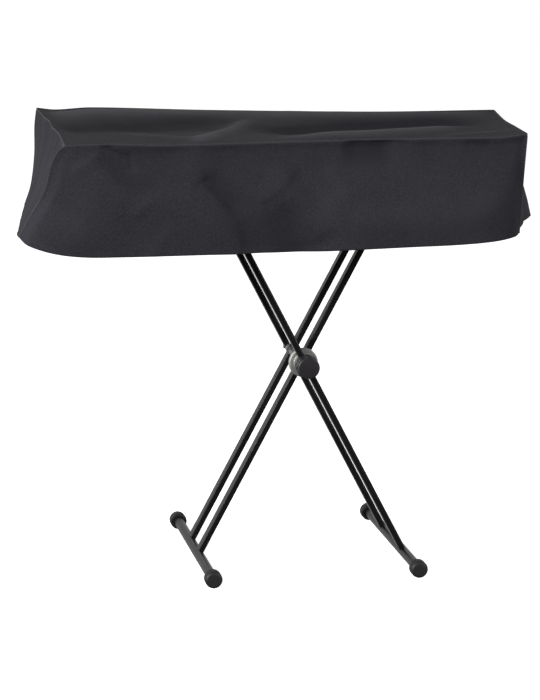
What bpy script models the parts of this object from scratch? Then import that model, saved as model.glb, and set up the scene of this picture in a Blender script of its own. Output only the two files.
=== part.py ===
"""Fitted xylophone cover of coated cloth, over a double-braced X-stand.

Metres, +Z up. The origin is on the floor under the middle of the whole object, +X points to the
narrow (treble) end and +Y to the back. Positions below are measured from the middle of the stand,
and one empty puts everything in place. The covered instrument is left out: the cover keeps the
shape in which it hangs over one.
"""

import math
from collections import namedtuple
from functools import partial

import bmesh
import bpy
from mathutils import Matrix, Vector

STAND_PLACE = (0.0405, -0.0261, 0.0)  # the middle of the stand, from the origin

# Stand
PIVOT_HEIGHT = 0.504
LEG_ANGLE = math.radians(27.83)  # of each leg from vertical
LEG_REACH = 0.5465  # from the pivot to the axis of a foot bar, along a leg
LEG_WIDTH = 0.015
LEG_DEPTH = 0.030
LEG_CORNER = 0.003
INNER_LEG_Y = 0.0636
OUTER_LEG_Y = 0.111
FOOT_BAR_RADIUS = 0.0126
FOOT_BAR_SHIFT = {"left": -0.0125, "right": 0.005}  # each bar sits a little off-centre in Y
FOOT_CAP_RADIUS = 0.0211
FOOT_CAP_LENGTH = 0.030
FOOT_CAP_MIDDLE_Y = 0.284
FOOT_CAP_WALL = 0.007
FOOT_CAP_ROUNDING = 0.007  # of its closed end
FOOT_CAP_CHAMFER = 0.003  # round its mouth
ARM_WIDTH = 0.030
ARM_HEIGHT = 0.015
ARM_CORNER = 0.003
ARM_HALF_LENGTH = 0.200
ARM_CAP_WALL = 0.004
ARM_CAP_LENGTH = 0.030
BOLT_DROP = 0.0012  # the bolt's axis lies this far under the crossing of the legs' middles
BOLT_RADIUS = 0.005
BOLT_HEAD_RADIUS = 0.010
BOLT_HEAD_LENGTH = 0.007
BOLT_STEPS = 24
SLEEVE_RADIUS = 0.010
DISC_RADIUS = 0.0362
DISC_BOSS_RADIUS = 0.0240
DISC_STEP = 0.0022  # the boss stands this far above the rim
DISC_BOSS_SLOPE = 0.0015
DISC_RIM_CHAMFER = 0.003  # across the face
DISC_RIM_DROP = 0.002  # along the axis
TURNED_STEPS = 48  # of the disc and the knob
KNOB_RADIUS = 0.0268
KNOB_LENGTH = 0.040
KNOB_CAP = 0.012  # solid plastic in front of the bolt's end
KNOB_LOBES = 8
KNOB_LOBE_RADIUS = 0.0293
KNOB_LOBE_LENGTH = 0.022
KNOB_EDGE = 0.004  # rounding of the cap
KNOB_EDGE_SHARE = 0.3  # where the rounding has its middle point
KNOB_LOBE_EDGE = 0.002
KNOB_GROOVE_RADIUS = 0.0075
KNOB_GROOVE_SHARE = 0.6  # of its radius: how far outside the lobes a groove has its axis
CUTTER_PAST = 0.001
GAP = 0.0003  # between pieces that touch
ROUND_STEPS = 32

# Cover
TOP_HEIGHT = 1.079
CLOTH = 0.002  # thickness of the coated cloth with its turned seams
SEAM_GAP = 0.0005
TOP_COLUMNS = 36
TOP_ROWS = 12
SKIRT_ROWS = 10
SKIRT_FADE = 0.03  # folds die away this near a seam or corner of the skirt
TOP_FADE = 0.06  # and this near a seam of the top

# Corners of the tapered top: in plan, and how far each stands above TOP_HEIGHT.
CORNERS = {
    "front_left": (-0.617, -0.379, 0.000),
    "front_right": (0.505, -0.262, 0.001),
    "back_right": (0.560, 0.253, 0.002),
    "back_left": (-0.602, 0.412, 0.002),
}
PANEL_ENDS = {  # counter-clockwise as seen from above
    "front": ("front_left", "front_right"),
    "right": ("front_right", "back_right"),
    "back": ("back_right", "back_left"),
    "left": ("back_left", "front_left"),
}

# Where a top seam leaves the straight line between its corners: bow is inward, dip is down.
Seam = namedtuple("Seam", "share bow dip")
STRAIGHT_START = Seam(0.0, 0.0, 0.0)
STRAIGHT_END = Seam(1.0, 0.0, 0.0)
SEAMS = {
    "front": (
        Seam(0.040, 0.000, -0.0010),
        Seam(0.100, 0.001, -0.0005),
        Seam(0.217, 0.002, 0.0046),
        Seam(0.510, 0.002, 0.0036),
        Seam(0.810, 0.002, 0.0053),
        Seam(0.900, 0.001, 0.0065),
        Seam(0.950, 0.000, 0.0062),
    ),
    "right": (Seam(0.350, 0.001, 0.0030), Seam(0.650, 0.002, 0.0055)),
    "back": (
        Seam(0.264, 0.002, 0.0060),
        Seam(0.635, 0.002, 0.0035),
        Seam(0.882, 0.001, -0.0015),
        Seam(0.960, 0.000, 0.0045),
    ),
    "left": (
        Seam(0.270, 0.003, 0.0000),
        Seam(0.370, 0.008, 0.0000),
        Seam(0.530, 0.004, 0.0000),
        Seam(0.680, 0.008, 0.0000),
        Seam(0.820, 0.005, 0.0000),
    ),
}

# The hem from corner to corner: its place in plan, how far it hangs below the top, how late on the
# way down the cloth swings out to it (1 is a straight slant), and how far it bellies out half-way.
Hem = namedtuple("Hem", "x y drop lateness belly")
CORNER_HEMS = {
    "front_left": Hem(-0.718, -0.300, 0.218, 1.10, 0.0),
    "front_right": Hem(0.5115, -0.190, 0.249, 1.10, 0.0),
    "back_right": Hem(0.610, 0.262, 0.255, 1.40, 0.0),
    "back_left": Hem(-0.635, 0.410, 0.246, 2.20, 0.0),
}
PANEL_HEMS = {
    "front": (
        Hem(-0.699, -0.335, 0.234, 1.10, 0.003),
        Hem(-0.641, -0.362, 0.250, 1.00, 0.006),
        Hem(-0.571, -0.368, 0.258, 1.00, 0.008),
        Hem(-0.477, -0.364, 0.259, 1.00, 0.010),
        Hem(-0.285, -0.355, 0.258, 1.00, 0.011),
        Hem(-0.077, -0.332, 0.259, 1.00, 0.011),
        Hem(0.097, -0.320, 0.258, 1.00, 0.011),
        Hem(0.220, -0.303, 0.258, 1.05, 0.010),
        Hem(0.349, -0.286, 0.258, 1.10, 0.007),
        Hem(0.437, -0.262, 0.256, 1.10, 0.004),
        Hem(0.489, -0.230, 0.252, 1.10, 0.001),
    ),
    "right": (
        Hem(0.519, -0.168, 0.242, 1.10, 0.0),
        Hem(0.545, -0.110, 0.240, 1.10, 0.001),
        Hem(0.589, 0.000, 0.242, 1.10, 0.002),
        Hem(0.618, 0.090, 0.251, 1.10, 0.003),
        Hem(0.636, 0.160, 0.258, 1.15, 0.003),
        Hem(0.632, 0.222, 0.260, 1.30, 0.001),
    ),
    "back": (
        Hem(0.530, 0.294, 0.256, 1.20, 0.004),
        Hem(0.400, 0.298, 0.257, 1.10, 0.009),
        Hem(0.220, 0.332, 0.257, 1.00, 0.011),
        Hem(0.020, 0.338, 0.258, 1.00, 0.011),
        Hem(-0.160, 0.380, 0.257, 1.00, 0.011),
        Hem(-0.340, 0.386, 0.257, 1.00, 0.009),
        Hem(-0.500, 0.424, 0.254, 1.10, 0.005),
        Hem(-0.592, 0.430, 0.250, 1.40, 0.001),
    ),
    "left": (
        Hem(-0.650, 0.300, 0.245, 1.70, -0.002),
        Hem(-0.670, 0.150, 0.243, 1.45, -0.003),
        Hem(-0.689, 0.000, 0.241, 1.35, -0.003),
        Hem(-0.704, -0.120, 0.237, 1.25, -0.002),
        Hem(-0.713, -0.220, 0.225, 1.15, 0.0),
    ),
}

# A corner seam runs down through these places. The cloth on both sides of it follows, less and
# less over CORNER_REACH.
Corner = namedtuple("Corner", "drop x y")
CORNER_SEAMS = {
    "front_left": (
        Corner(0.013, -0.633, -0.379),
        Corner(0.047, -0.649, -0.376),
        Corner(0.090, -0.658, -0.367),
        Corner(0.118, -0.668, -0.356),
        Corner(0.170, -0.696, -0.330),
    ),
    "front_right": (Corner(0.060, 0.5045, -0.250), Corner(0.120, 0.5065, -0.230)),
    "back_right": (Corner(0.120, 0.575, 0.257),),
    "back_left": (
        Corner(0.045, -0.607, 0.411),
        Corner(0.115, -0.608, 0.411),
        Corner(0.195, -0.618, 0.411),
    ),
}
CORNER_REACH = 0.11

# Soft ridges (height above 0) and troughs (below 0) along straight lines. On the skirt, across is x on
# the long panels and y on the ends, and down is from the top seam.
SkirtFold = namedtuple("SkirtFold", "panel across_0 down_0 across_1 down_1 width height")
SKIRT_FOLDS = (
    SkirtFold("front", -0.265, 0.095, -0.150, 0.250, 0.026, -0.0060),
    SkirtFold("front", -0.319, 0.120, -0.219, 0.255, 0.030, 0.0030),
    SkirtFold("front", -0.072, 0.080, -0.140, 0.130, 0.026, -0.0030),
    SkirtFold("front", -0.072, 0.080, -0.020, 0.140, 0.024, -0.0030),
    SkirtFold("front", 0.010, 0.060, 0.080, 0.150, 0.030, -0.0020),
    SkirtFold("front", -0.518, 0.010, -0.468, 0.050, 0.016, -0.0030),
    SkirtFold("front", 0.100, 0.190, 0.380, 0.190, 0.040, 0.0040),
    SkirtFold("back", 0.310, 0.080, 0.230, 0.250, 0.040, -0.0060),
    SkirtFold("back", -0.240, 0.060, -0.180, 0.250, 0.045, -0.0060),
    SkirtFold("left", 0.212, 0.020, 0.152, 0.180, 0.030, 0.0030),
    SkirtFold("left", -0.008, 0.020, -0.088, 0.200, 0.035, -0.0030),
    SkirtFold("left", -0.208, 0.020, -0.268, 0.200, 0.030, 0.0040),
    SkirtFold("right", -0.012, 0.060, -0.062, 0.240, 0.050, -0.0050),
)
TopFold = namedtuple("TopFold", "x_0 y_0 x_1 y_1 width height")
TOP_FOLDS = (
    TopFold(-0.550, 0.150, -0.220, 0.200, 0.060, 0.0035),
    TopFold(-0.400, -0.040, -0.200, -0.020, 0.060, -0.0035),
    TopFold(-0.270, -0.250, -0.110, 0.090, 0.035, 0.0035),
    TopFold(-0.120, -0.090, 0.300, -0.020, 0.080, -0.0040),
    TopFold(-0.100, 0.170, 0.500, 0.150, 0.050, 0.0030),
    TopFold(0.020, -0.230, 0.400, -0.060, 0.045, 0.0030),
)


def clear_scene():
    for obj in list(bpy.data.objects):
        bpy.data.objects.remove(obj)


def make_material(name, colour, roughness, metallic=0.0):
    material = bpy.data.materials.new(name)
    material.use_nodes = True
    shader = material.node_tree.nodes["Principled BSDF"]
    shader.inputs["Base Color"].default_value = (*colour, 1.0)
    shader.inputs["Roughness"].default_value = roughness
    shader.inputs["Metallic"].default_value = metallic
    return material


def make_object(name, bm, material, parent, smooth_angle=35):
    mesh = bpy.data.meshes.new(name)
    bm.to_mesh(mesh)
    bm.free()
    mesh.shade_smooth()
    mesh.set_sharp_from_angle(angle=math.radians(smooth_angle))
    mesh.materials.append(material)
    obj = bpy.data.objects.new(name, mesh)
    bpy.context.collection.objects.link(obj)
    obj.parent = parent
    return obj


def cut_with(obj, cutter):
    cutter.hide_render = True
    cutter.display_type = "WIRE"
    cut = obj.modifiers.new("cut_" + cutter.name, "BOOLEAN")
    cut.operation = "DIFFERENCE"
    cut.solver = "EXACT"
    cut.object = cutter


def mix(a, b, share):
    return a + (b - a) * share


def smooth_step(value):
    value = min(max(value, 0.0), 1.0)
    return value * value * (3 - 2 * value)


# ---------------------------------------------------------------- turned and flat-sided pieces


def turned(outline, is_ring=False, steps=ROUND_STEPS):
    """A solid turned about the Y axis from (radius, y) points, given from its front to its back."""
    bm = bmesh.new()
    points = [bm.verts.new((radius, y, 0.0)) for radius, y in outline]
    edges = [bm.edges.new(pair) for pair in zip(points, points[1:])]
    if is_ring:
        edges.append(bm.edges.new((points[-1], points[0])))
    bmesh.ops.spin(
        bm, geom=points + edges, cent=(0, 0, 0), axis=(0, 1, 0), angle=math.tau, steps=steps, use_merge=True
    )
    bmesh.ops.remove_doubles(bm, verts=bm.verts, dist=1e-6)
    bmesh.ops.recalc_face_normals(bm, faces=bm.faces)
    return bm


def round_bar(radius, y_front, y_back):
    return turned([(0, y_front), (radius, y_front), (radius, y_back), (0, y_back)])


def sleeve(inner, outer, y_front, y_back):
    return turned([(inner, y_front), (outer, y_front), (outer, y_back), (inner, y_back)], is_ring=True)


def flat_sided_bar(size, corner, long_axis):
    """A bar centred on the origin, with the four edges along its long axis rounded."""
    bm = bmesh.new()
    bmesh.ops.create_cube(bm, size=1.0, matrix=Matrix.Diagonal((*size, 1.0)))
    long_edges = [
        edge
        for edge in bm.edges
        if abs((edge.verts[0].co - edge.verts[1].co)[long_axis]) > 0.9 * size[long_axis]
    ]
    bmesh.ops.bevel(
        bm, geom=long_edges, offset=corner, segments=3, profile=0.5, affect="EDGES", material=-1
    )
    return bm


def cut_flat(bm, point, normal):
    """Cuts off what lies beyond the plane and closes the cut."""
    geometry = bm.verts[:] + bm.edges[:] + bm.faces[:]
    cut = bmesh.ops.bisect_plane(bm, geom=geometry, plane_co=point, plane_no=normal, clear_outer=True)
    rim = [item for item in cut["geom_cut"] if isinstance(item, bmesh.types.BMEdge)]
    bmesh.ops.contextual_create(bm, geom=rim)
    bmesh.ops.recalc_face_normals(bm, faces=bm.faces)


# ---------------------------------------------------------------- stand


def foot_place(side):
    """Where the foot bar on this side (-1 left, 1 right) has its axis."""
    drop = LEG_REACH * math.cos(LEG_ANGLE)
    return Vector((side * LEG_REACH * math.sin(LEG_ANGLE), 0, PIVOT_HEIGHT - drop))


def arm_place(side):
    """The middle of the top arm on this side, as far above the pivot as the foot bars are below."""
    foot = foot_place(side)
    return Vector((foot.x, 0, 2 * PIVOT_HEIGHT - foot.z))


def make_foot_bar(name, side, shift, material, parent):
    half_length = FOOT_CAP_MIDDLE_Y + FOOT_CAP_LENGTH / 2 - FOOT_CAP_WALL - GAP
    bm = round_bar(FOOT_BAR_RADIUS, shift - half_length, shift + half_length)
    bmesh.ops.translate(bm, verts=bm.verts, vec=foot_place(side))
    return make_object(name, bm, material, parent)


def make_foot_cap(name, side, middle_y, material, parent):
    """A rubber boot, mouth towards the bar, with a flat where it stands on the floor."""
    outer, mouth = FOOT_CAP_LENGTH / 2, -FOOT_CAP_LENGTH / 2
    bore = FOOT_BAR_RADIUS + GAP
    middle = Vector((FOOT_CAP_RADIUS - FOOT_CAP_ROUNDING, outer - FOOT_CAP_ROUNDING))
    nose = [
        tuple(middle + FOOT_CAP_ROUNDING * Vector((math.sin(angle), math.cos(angle))))
        for angle in (math.radians(degrees) for degrees in (0, 22.5, 45, 67.5, 90))
    ]
    outline = [(0, outer), *nose]
    outline += [(FOOT_CAP_RADIUS, mouth + FOOT_CAP_CHAMFER), (FOOT_CAP_RADIUS - FOOT_CAP_CHAMFER, mouth)]
    outline += [(bore, mouth), (bore, outer - FOOT_CAP_WALL), (0, outer - FOOT_CAP_WALL)]
    bm = turned(outline)
    if middle_y < 0:
        bmesh.ops.rotate(bm, verts=bm.verts, matrix=Matrix.Rotation(math.pi, 3, "Z"))
    bmesh.ops.translate(bm, verts=bm.verts, vec=foot_place(side) + Vector((0, middle_y, 0)))
    cut_flat(bm, (0, 0, 0), (0, 0, -1))
    return make_object(name, bm, material, parent)


def make_leg(name, lean, y, material, parent):
    """A leg through the pivot that leans to lean (1 right, -1 left) at its top."""
    bm = flat_sided_bar((LEG_WIDTH, LEG_DEPTH, 2 * LEG_REACH), LEG_CORNER, 2)
    bmesh.ops.rotate(bm, verts=bm.verts, matrix=Matrix.Rotation(lean * LEG_ANGLE, 3, "Y"))
    bmesh.ops.translate(bm, verts=bm.verts, vec=(0, y, PIVOT_HEIGHT))
    under_arm = arm_place(lean) - Vector((0, 0, ARM_HEIGHT / 2 + GAP))
    cut_flat(bm, under_arm, (0, 0, 1))
    leg = make_object(name, bm, material, parent)
    front, back = y - LEG_DEPTH, y + LEG_DEPTH  # cutters run half a leg past each face
    saddle = round_bar(FOOT_BAR_RADIUS + GAP, front, back)
    bmesh.ops.translate(saddle, verts=saddle.verts, vec=foot_place(-lean))
    cut_with(leg, make_object(name + "_saddle", saddle, material, parent))
    hole = round_bar(BOLT_RADIUS + GAP, front, back)
    cut_with(leg, make_object(name + "_hole", on_bolt(hole), material, parent))
    return leg


def make_arm(name, side, material, parent):
    half_length = ARM_HALF_LENGTH - ARM_CAP_WALL - GAP
    bm = flat_sided_bar((ARM_WIDTH, 2 * half_length, ARM_HEIGHT), ARM_CORNER, 1)
    bmesh.ops.translate(bm, verts=bm.verts, vec=arm_place(side))
    return make_object(name, bm, material, parent)


def make_arm_cap(name, side, end, material, parent):
    """A rubber cap over the end of an arm, open towards the arm."""
    shell_size = (ARM_WIDTH + 2 * ARM_CAP_WALL, ARM_CAP_LENGTH, ARM_HEIGHT + 2 * ARM_CAP_WALL)
    shell = flat_sided_bar(shell_size, ARM_CORNER + ARM_CAP_WALL, 1)
    middle = arm_place(side) + Vector((0, end * (ARM_HALF_LENGTH - ARM_CAP_LENGTH / 2), 0))
    bmesh.ops.translate(shell, verts=shell.verts, vec=middle)
    cap = make_object(name, shell, material, parent)
    pocket_size = (ARM_WIDTH + 2 * GAP, ARM_CAP_LENGTH, ARM_HEIGHT + 2 * GAP)
    pocket = flat_sided_bar(pocket_size, ARM_CORNER, 1)
    bmesh.ops.translate(pocket, verts=pocket.verts, vec=middle - Vector((0, end * ARM_CAP_WALL, 0)))
    cut_with(cap, make_object(name + "_pocket", pocket, material, parent))
    return cap


def on_bolt(bm):
    bmesh.ops.translate(bm, verts=bm.verts, vec=(0, 0, PIVOT_HEIGHT - BOLT_DROP))
    return bm


def make_bolt(front, material, parent):
    """The pivot's bolt, with its head behind the back leg."""
    head_front = OUTER_LEG_Y + LEG_DEPTH / 2 + GAP
    head_back = head_front + BOLT_HEAD_LENGTH
    outline = [
        (0, front),
        (BOLT_RADIUS, front),
        (BOLT_RADIUS, head_front),
        (BOLT_HEAD_RADIUS, head_front),
        (BOLT_HEAD_RADIUS, head_back),
        (0, head_back),
    ]
    return make_object("pivot_bolt", on_bolt(turned(outline, steps=BOLT_STEPS)), material, parent)


def make_disc(front, back, material, parent):
    """The cast disc in the slot between the front legs. Each face has a raised boss."""
    step_front, step_back = front + DISC_STEP, back - DISC_STEP
    face_radius = DISC_RADIUS - DISC_RIM_CHAMFER
    slope_radius = DISC_BOSS_RADIUS + DISC_BOSS_SLOPE
    outline = [
        (BOLT_RADIUS + GAP, front),
        (DISC_BOSS_RADIUS, front),
        (slope_radius, step_front),
        (face_radius, step_front),
        (DISC_RADIUS, step_front + DISC_RIM_DROP),
        (DISC_RADIUS, step_back - DISC_RIM_DROP),
        (face_radius, step_back),
        (slope_radius, step_back),
        (DISC_BOSS_RADIUS, back),
        (BOLT_RADIUS + GAP, back),
    ]
    disc = turned(outline, is_ring=True, steps=TURNED_STEPS)
    return make_object("lock_disc", on_bolt(disc), material, parent)


def make_knob(front, back, material, parent):
    """A turned hand knob with a lobed grip behind its smooth cap, and a blind bore for the bolt."""
    bore = BOLT_RADIUS + GAP
    bore_end = front + KNOB_CAP - GAP
    middle_edge = KNOB_EDGE_SHARE * KNOB_EDGE
    lobe_front = back - KNOB_LOBE_LENGTH
    outline = [
        (0, front),
        (KNOB_RADIUS - KNOB_EDGE, front),
        (KNOB_RADIUS - middle_edge, front + middle_edge),
        (KNOB_RADIUS, front + KNOB_EDGE),
        (KNOB_RADIUS, lobe_front),
        (KNOB_LOBE_RADIUS, lobe_front + KNOB_LOBE_EDGE),
        (KNOB_LOBE_RADIUS, back - KNOB_LOBE_EDGE),
        (KNOB_LOBE_RADIUS - KNOB_LOBE_EDGE, back),
        (bore, back),
        (bore, bore_end),
        (0, bore_end),
    ]
    knob = make_object("lock_knob", on_bolt(turned(outline, steps=TURNED_STEPS)), material, parent)
    reach = KNOB_LOBE_RADIUS + KNOB_GROOVE_SHARE * KNOB_GROOVE_RADIUS
    for number in range(KNOB_LOBES):
        angle = math.tau * (number + 0.5) / KNOB_LOBES
        groove = round_bar(KNOB_GROOVE_RADIUS, lobe_front - CUTTER_PAST, back + CUTTER_PAST)
        bmesh.ops.translate(
            groove, verts=groove.verts, vec=(reach * math.cos(angle), 0, reach * math.sin(angle))
        )
        cut_with(knob, make_object(f"knob_groove_{number}", on_bolt(groove), material, parent))


def make_pivot(steel, cast_metal, black_plastic, parent):
    half = LEG_DEPTH / 2
    bore = BOLT_RADIUS + GAP
    knob_back = -(OUTER_LEG_Y + half + GAP)
    knob_front = knob_back - KNOB_LENGTH
    make_bolt(knob_front + KNOB_CAP, steel, parent)
    make_knob(knob_front, knob_back, black_plastic, parent)

    inner_face = INNER_LEG_Y - half - GAP
    between_inner = sleeve(bore, SLEEVE_RADIUS, -inner_face, inner_face)
    make_object("pivot_sleeve", on_bolt(between_inner), steel, parent)

    # The slots between an inner and an outer leg: a plain spacer at the back, the disc in front.
    slot_near = INNER_LEG_Y + half + GAP
    slot_far = OUTER_LEG_Y - half - GAP
    spacer = sleeve(bore, SLEEVE_RADIUS, slot_near, slot_far)
    make_object("back_spacer", on_bolt(spacer), cast_metal, parent)
    make_disc(-slot_far, -slot_near, cast_metal, parent)


def make_stand(parent):
    painted = make_material("black_painted_steel", (0.012, 0.011, 0.012), 0.38)
    rubber = make_material("black_rubber", (0.024, 0.022, 0.024), 0.62)
    plastic = make_material("black_moulded_plastic", (0.028, 0.027, 0.029), 0.45)
    cast_metal = make_material("cast_zinc", (0.45, 0.45, 0.42), 0.42, metallic=1.0)
    steel = make_material("zinc_plated_steel", (0.32, 0.32, 0.31), 0.35, metallic=1.0)
    for side_name, side in (("left", -1), ("right", 1)):
        shift = FOOT_BAR_SHIFT[side_name]
        make_foot_bar("foot_bar_" + side_name, side, shift, painted, parent)
        make_arm("arm_" + side_name, side, painted, parent)
        for end_name, end in (("front", -1), ("back", 1)):
            cap_name = f"foot_cap_{side_name}_{end_name}"
            make_foot_cap(cap_name, side, shift + end * FOOT_CAP_MIDDLE_Y, rubber, parent)
            make_arm_cap(f"arm_cap_{side_name}_{end_name}", side, end, rubber, parent)
    for end_name, end in (("front", -1), ("back", 1)):
        make_leg("inner_leg_" + end_name, 1, end * INNER_LEG_Y, painted, parent)
        make_leg("outer_leg_" + end_name, -1, end * OUTER_LEG_Y, painted, parent)
    make_pivot(steel, cast_metal, plastic, parent)


# ---------------------------------------------------------------- cover


def curve_at(rows, key):
    """The row at this key, which is the first column, on a smooth curve through the rows."""
    index = 0
    while index < len(rows) - 2 and rows[index + 1][0] < key:
        index += 1
    start, end = rows[index], rows[index + 1]
    before, after = rows[max(index - 1, 0)], rows[min(index + 2, len(rows) - 1)]
    span = end[0] - start[0]
    t = (key - start[0]) / span
    leave = (t - 2 * t**2 + t**3) * span / (end[0] - before[0])
    arrive = (t**3 - t**2) * span / (after[0] - start[0])
    reached = 3 * t**2 - 2 * t**3
    return [
        a + (b - a) * reached + (b - p) * leave + (q - a) * arrive
        for p, a, b, q in zip(before, start, end, after)
    ]


def top_corner(name):
    x, y, rise = CORNERS[name]
    return Vector((x, y, TOP_HEIGHT + rise))


def panel_ends(panel):
    start, end = PANEL_ENDS[panel]
    return top_corner(start), top_corner(end)


def seam_point(panel, share):
    """A point of the top seam of this panel."""
    start, end = panel_ends(panel)
    inward = Vector((0, 0, 1)).cross(end - start).normalized()
    _, bow, dip = curve_at((STRAIGHT_START, *SEAMS[panel], STRAIGHT_END), share)
    return start.lerp(end, share) + inward * bow - Vector((0, 0, dip))


def hem_at(panel, share):
    """The hem this share of its length along the panel."""
    start, end = PANEL_ENDS[panel]
    rows = (CORNER_HEMS[start], *PANEL_HEMS[panel], CORNER_HEMS[end])
    lengths = [0.0]
    for a, b in zip(rows, rows[1:]):
        lengths.append(lengths[-1] + math.hypot(b.x - a.x, b.y - a.y))
    keyed = [(length / lengths[-1], *row) for length, row in zip(lengths, rows)]
    return Hem(*curve_at(keyed, share)[1:])


def slant(top, hem, down_share):
    """Where the cloth hangs between the top and the hem, in plan, before its folds."""
    swing = down_share**hem.lateness
    return Vector((mix(top.x, hem.x, swing), mix(top.y, hem.y, swing)))


def corner_pull(name, down_share):
    """How far the corner seam lies from a plain slant, in plan."""
    top, hem = top_corner(name), CORNER_HEMS[name]
    rows = [Corner(0.0, top.x, top.y), *CORNER_SEAMS[name], Corner(hem.drop, hem.x, hem.y)]
    _, x, y = curve_at(rows, down_share * hem.drop)
    return Vector((x, y)) - slant(top, hem, down_share)


def line_bump(place, start, end, width, height):
    """How high a soft ridge along start-end stands at this place. It fades beyond its ends."""
    line = end - start
    share = min(max((place - start).dot(line) / line.length_squared, 0.0), 1.0)
    distance = (place - start - line * share).length
    return height * math.exp(-((distance / width) ** 2))


def fold_height(panel, place):
    """How far the folds push the cloth outward at this place across and down the panel."""
    return sum(
        line_bump(
            place,
            Vector((fold.across_0, fold.down_0)),
            Vector((fold.across_1, fold.down_1)),
            fold.width,
            fold.height,
        )
        for fold in SKIRT_FOLDS
        if fold.panel == panel
    )


def skirt_point(panel, along_share, down_share):
    """A point of the skirt: 0 down is on the top seam, and 1 is on the hem."""
    start, end = panel_ends(panel)
    top, hem = seam_point(panel, along_share), hem_at(panel, along_share)
    outward = (end - start).cross(Vector((0, 0, 1))).to_2d().normalized()
    along = (end - start).to_2d().length
    to_corner = min(along_share, 1 - along_share) * along

    plan = slant(top, hem, down_share)
    across = plan.x if panel in ("front", "back") else plan.y
    place = Vector((across, down_share * hem.drop))
    folds = fold_height(panel, place) * smooth_step(place.y / SKIRT_FADE)
    bulge = hem.belly * math.sin(math.pi * down_share) + folds
    plan += outward * (bulge * smooth_step(to_corner / SKIRT_FADE))
    for name, distance in zip(PANEL_ENDS[panel], (along_share * along, (1 - along_share) * along)):
        plan += corner_pull(name, down_share) * (1 - smooth_step(distance / CORNER_REACH))
    return Vector((*plan, mix(top.z, TOP_HEIGHT - hem.drop, down_share)))


def top_point(along_share, back_share):
    """A point of the top, spanned between its four seams and raised or sunk by its folds."""
    front, back = seam_point("front", along_share), seam_point("back", 1 - along_share)
    left, right = seam_point("left", 1 - back_share), seam_point("right", back_share)
    near = top_corner("front_left").lerp(top_corner("front_right"), along_share)
    far = top_corner("back_left").lerp(top_corner("back_right"), along_share)
    point = front.lerp(back, back_share) + left.lerp(right, along_share) - near.lerp(far, back_share)
    place = point.to_2d()
    rise = sum(
        line_bump(
            place, Vector((fold.x_0, fold.y_0)), Vector((fold.x_1, fold.y_1)), fold.width, fold.height
        )
        for fold in TOP_FOLDS
    )
    along_edge = min(along_share, 1 - along_share) * (front - back).length
    back_edge = min(back_share, 1 - back_share) * (front - back).length
    point.z += rise * smooth_step(along_edge / TOP_FADE) * smooth_step(back_edge / TOP_FADE)
    return point


def add_panel(bm, number, columns, rows, place):
    """A grid of cloth whose points are placed by place(share along, share across)."""
    panel_number = bm.faces.layers.int["panel"]
    made = bmesh.ops.create_grid(bm, x_segments=columns, y_segments=rows, size=0.5)["verts"]
    for vert in made:
        vert.co = place(vert.co.x + 0.5, vert.co.y + 0.5)
    for face in {face for vert in made for face in vert.link_faces}:
        face[panel_number] = number


def sewn_skin():
    """The outer surface of the whole cover, its panels numbered on their faces."""
    bm = bmesh.new()
    bm.faces.layers.int.new("panel")
    add_panel(bm, 0, TOP_COLUMNS, TOP_ROWS, top_point)
    for number, panel in enumerate(PANEL_ENDS, start=1):
        columns = TOP_COLUMNS if panel in ("front", "back") else TOP_ROWS
        add_panel(bm, number, columns, SKIRT_ROWS, partial(skirt_point, panel))
    bmesh.ops.remove_doubles(bm, verts=bm.verts, dist=1e-5)
    bmesh.ops.recalc_face_normals(bm, faces=bm.faces)
    if max(bm.faces, key=lambda face: face.calc_center_median().z).normal.z < 0:
        bmesh.ops.reverse_faces(bm, faces=bm.faces)
    bm.normal_update()
    return bm


def panel_solid(skin, number):
    """One panel as a closed sheet, mitred where it is sewn to its neighbours."""
    layer = skin.faces.layers.int["panel"]
    faces = [face for face in skin.faces if face[layer] == number]
    solid = bmesh.new()
    outer, inner = {}, {}
    for vert in {vert for face in faces for vert in face.verts}:
        own = [face for face in vert.link_faces if face[layer] == number]
        shift = Vector()
        if len(own) < len(vert.link_faces):
            towards = sum((face.calc_center_median() - vert.co for face in own), Vector())
            shift = towards.normalized() * SEAM_GAP / 2
        inward = vert.normal * (CLOTH * vert.calc_shell_factor())
        outer[vert] = solid.verts.new(vert.co + shift)
        inner[vert] = solid.verts.new(vert.co + shift - inward)
    for face in faces:
        solid.faces.new([outer[vert] for vert in face.verts])
        solid.faces.new([inner[vert] for vert in reversed(face.verts)])
    inside = set(faces)
    for face in faces:
        for loop in face.loops:
            if all(other in inside for other in loop.edge.link_faces) and len(loop.edge.link_faces) == 2:
                continue
            a, b = loop.vert, loop.link_loop_next.vert
            solid.faces.new((outer[b], outer[a], inner[a], inner[b]))
    return solid


def make_cover(parent):
    cloth = make_material("black_coated_cloth", (0.032, 0.031, 0.035), 0.55)
    skin = sewn_skin()
    names = ("cover_top", "cover_front", "cover_end_right", "cover_back", "cover_end_left")
    for number, name in enumerate(names):
        make_object(name, panel_solid(skin, number), cloth, parent, smooth_angle=60)
    skin.free()


clear_scene()
stand_middle = bpy.data.objects.new("stand_middle", None)
bpy.context.collection.objects.link(stand_middle)
stand_middle.location = STAND_PLACE
make_stand(stand_middle)
make_cover(stand_middle)
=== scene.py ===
"""The looks of a fitted xylophone cover of coated cloth, on the double-braced X-stand below it.

Metres, +Z up, in the frame of the CAD. The sections follow the object as it is put together: the
stand from its floor tubes to its lock, then the cover from its top panel down, then the studio.
"""

import math
from collections import namedtuple
from functools import lru_cache

import bmesh
import bpy
from mathutils import Matrix, Vector, noise


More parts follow.
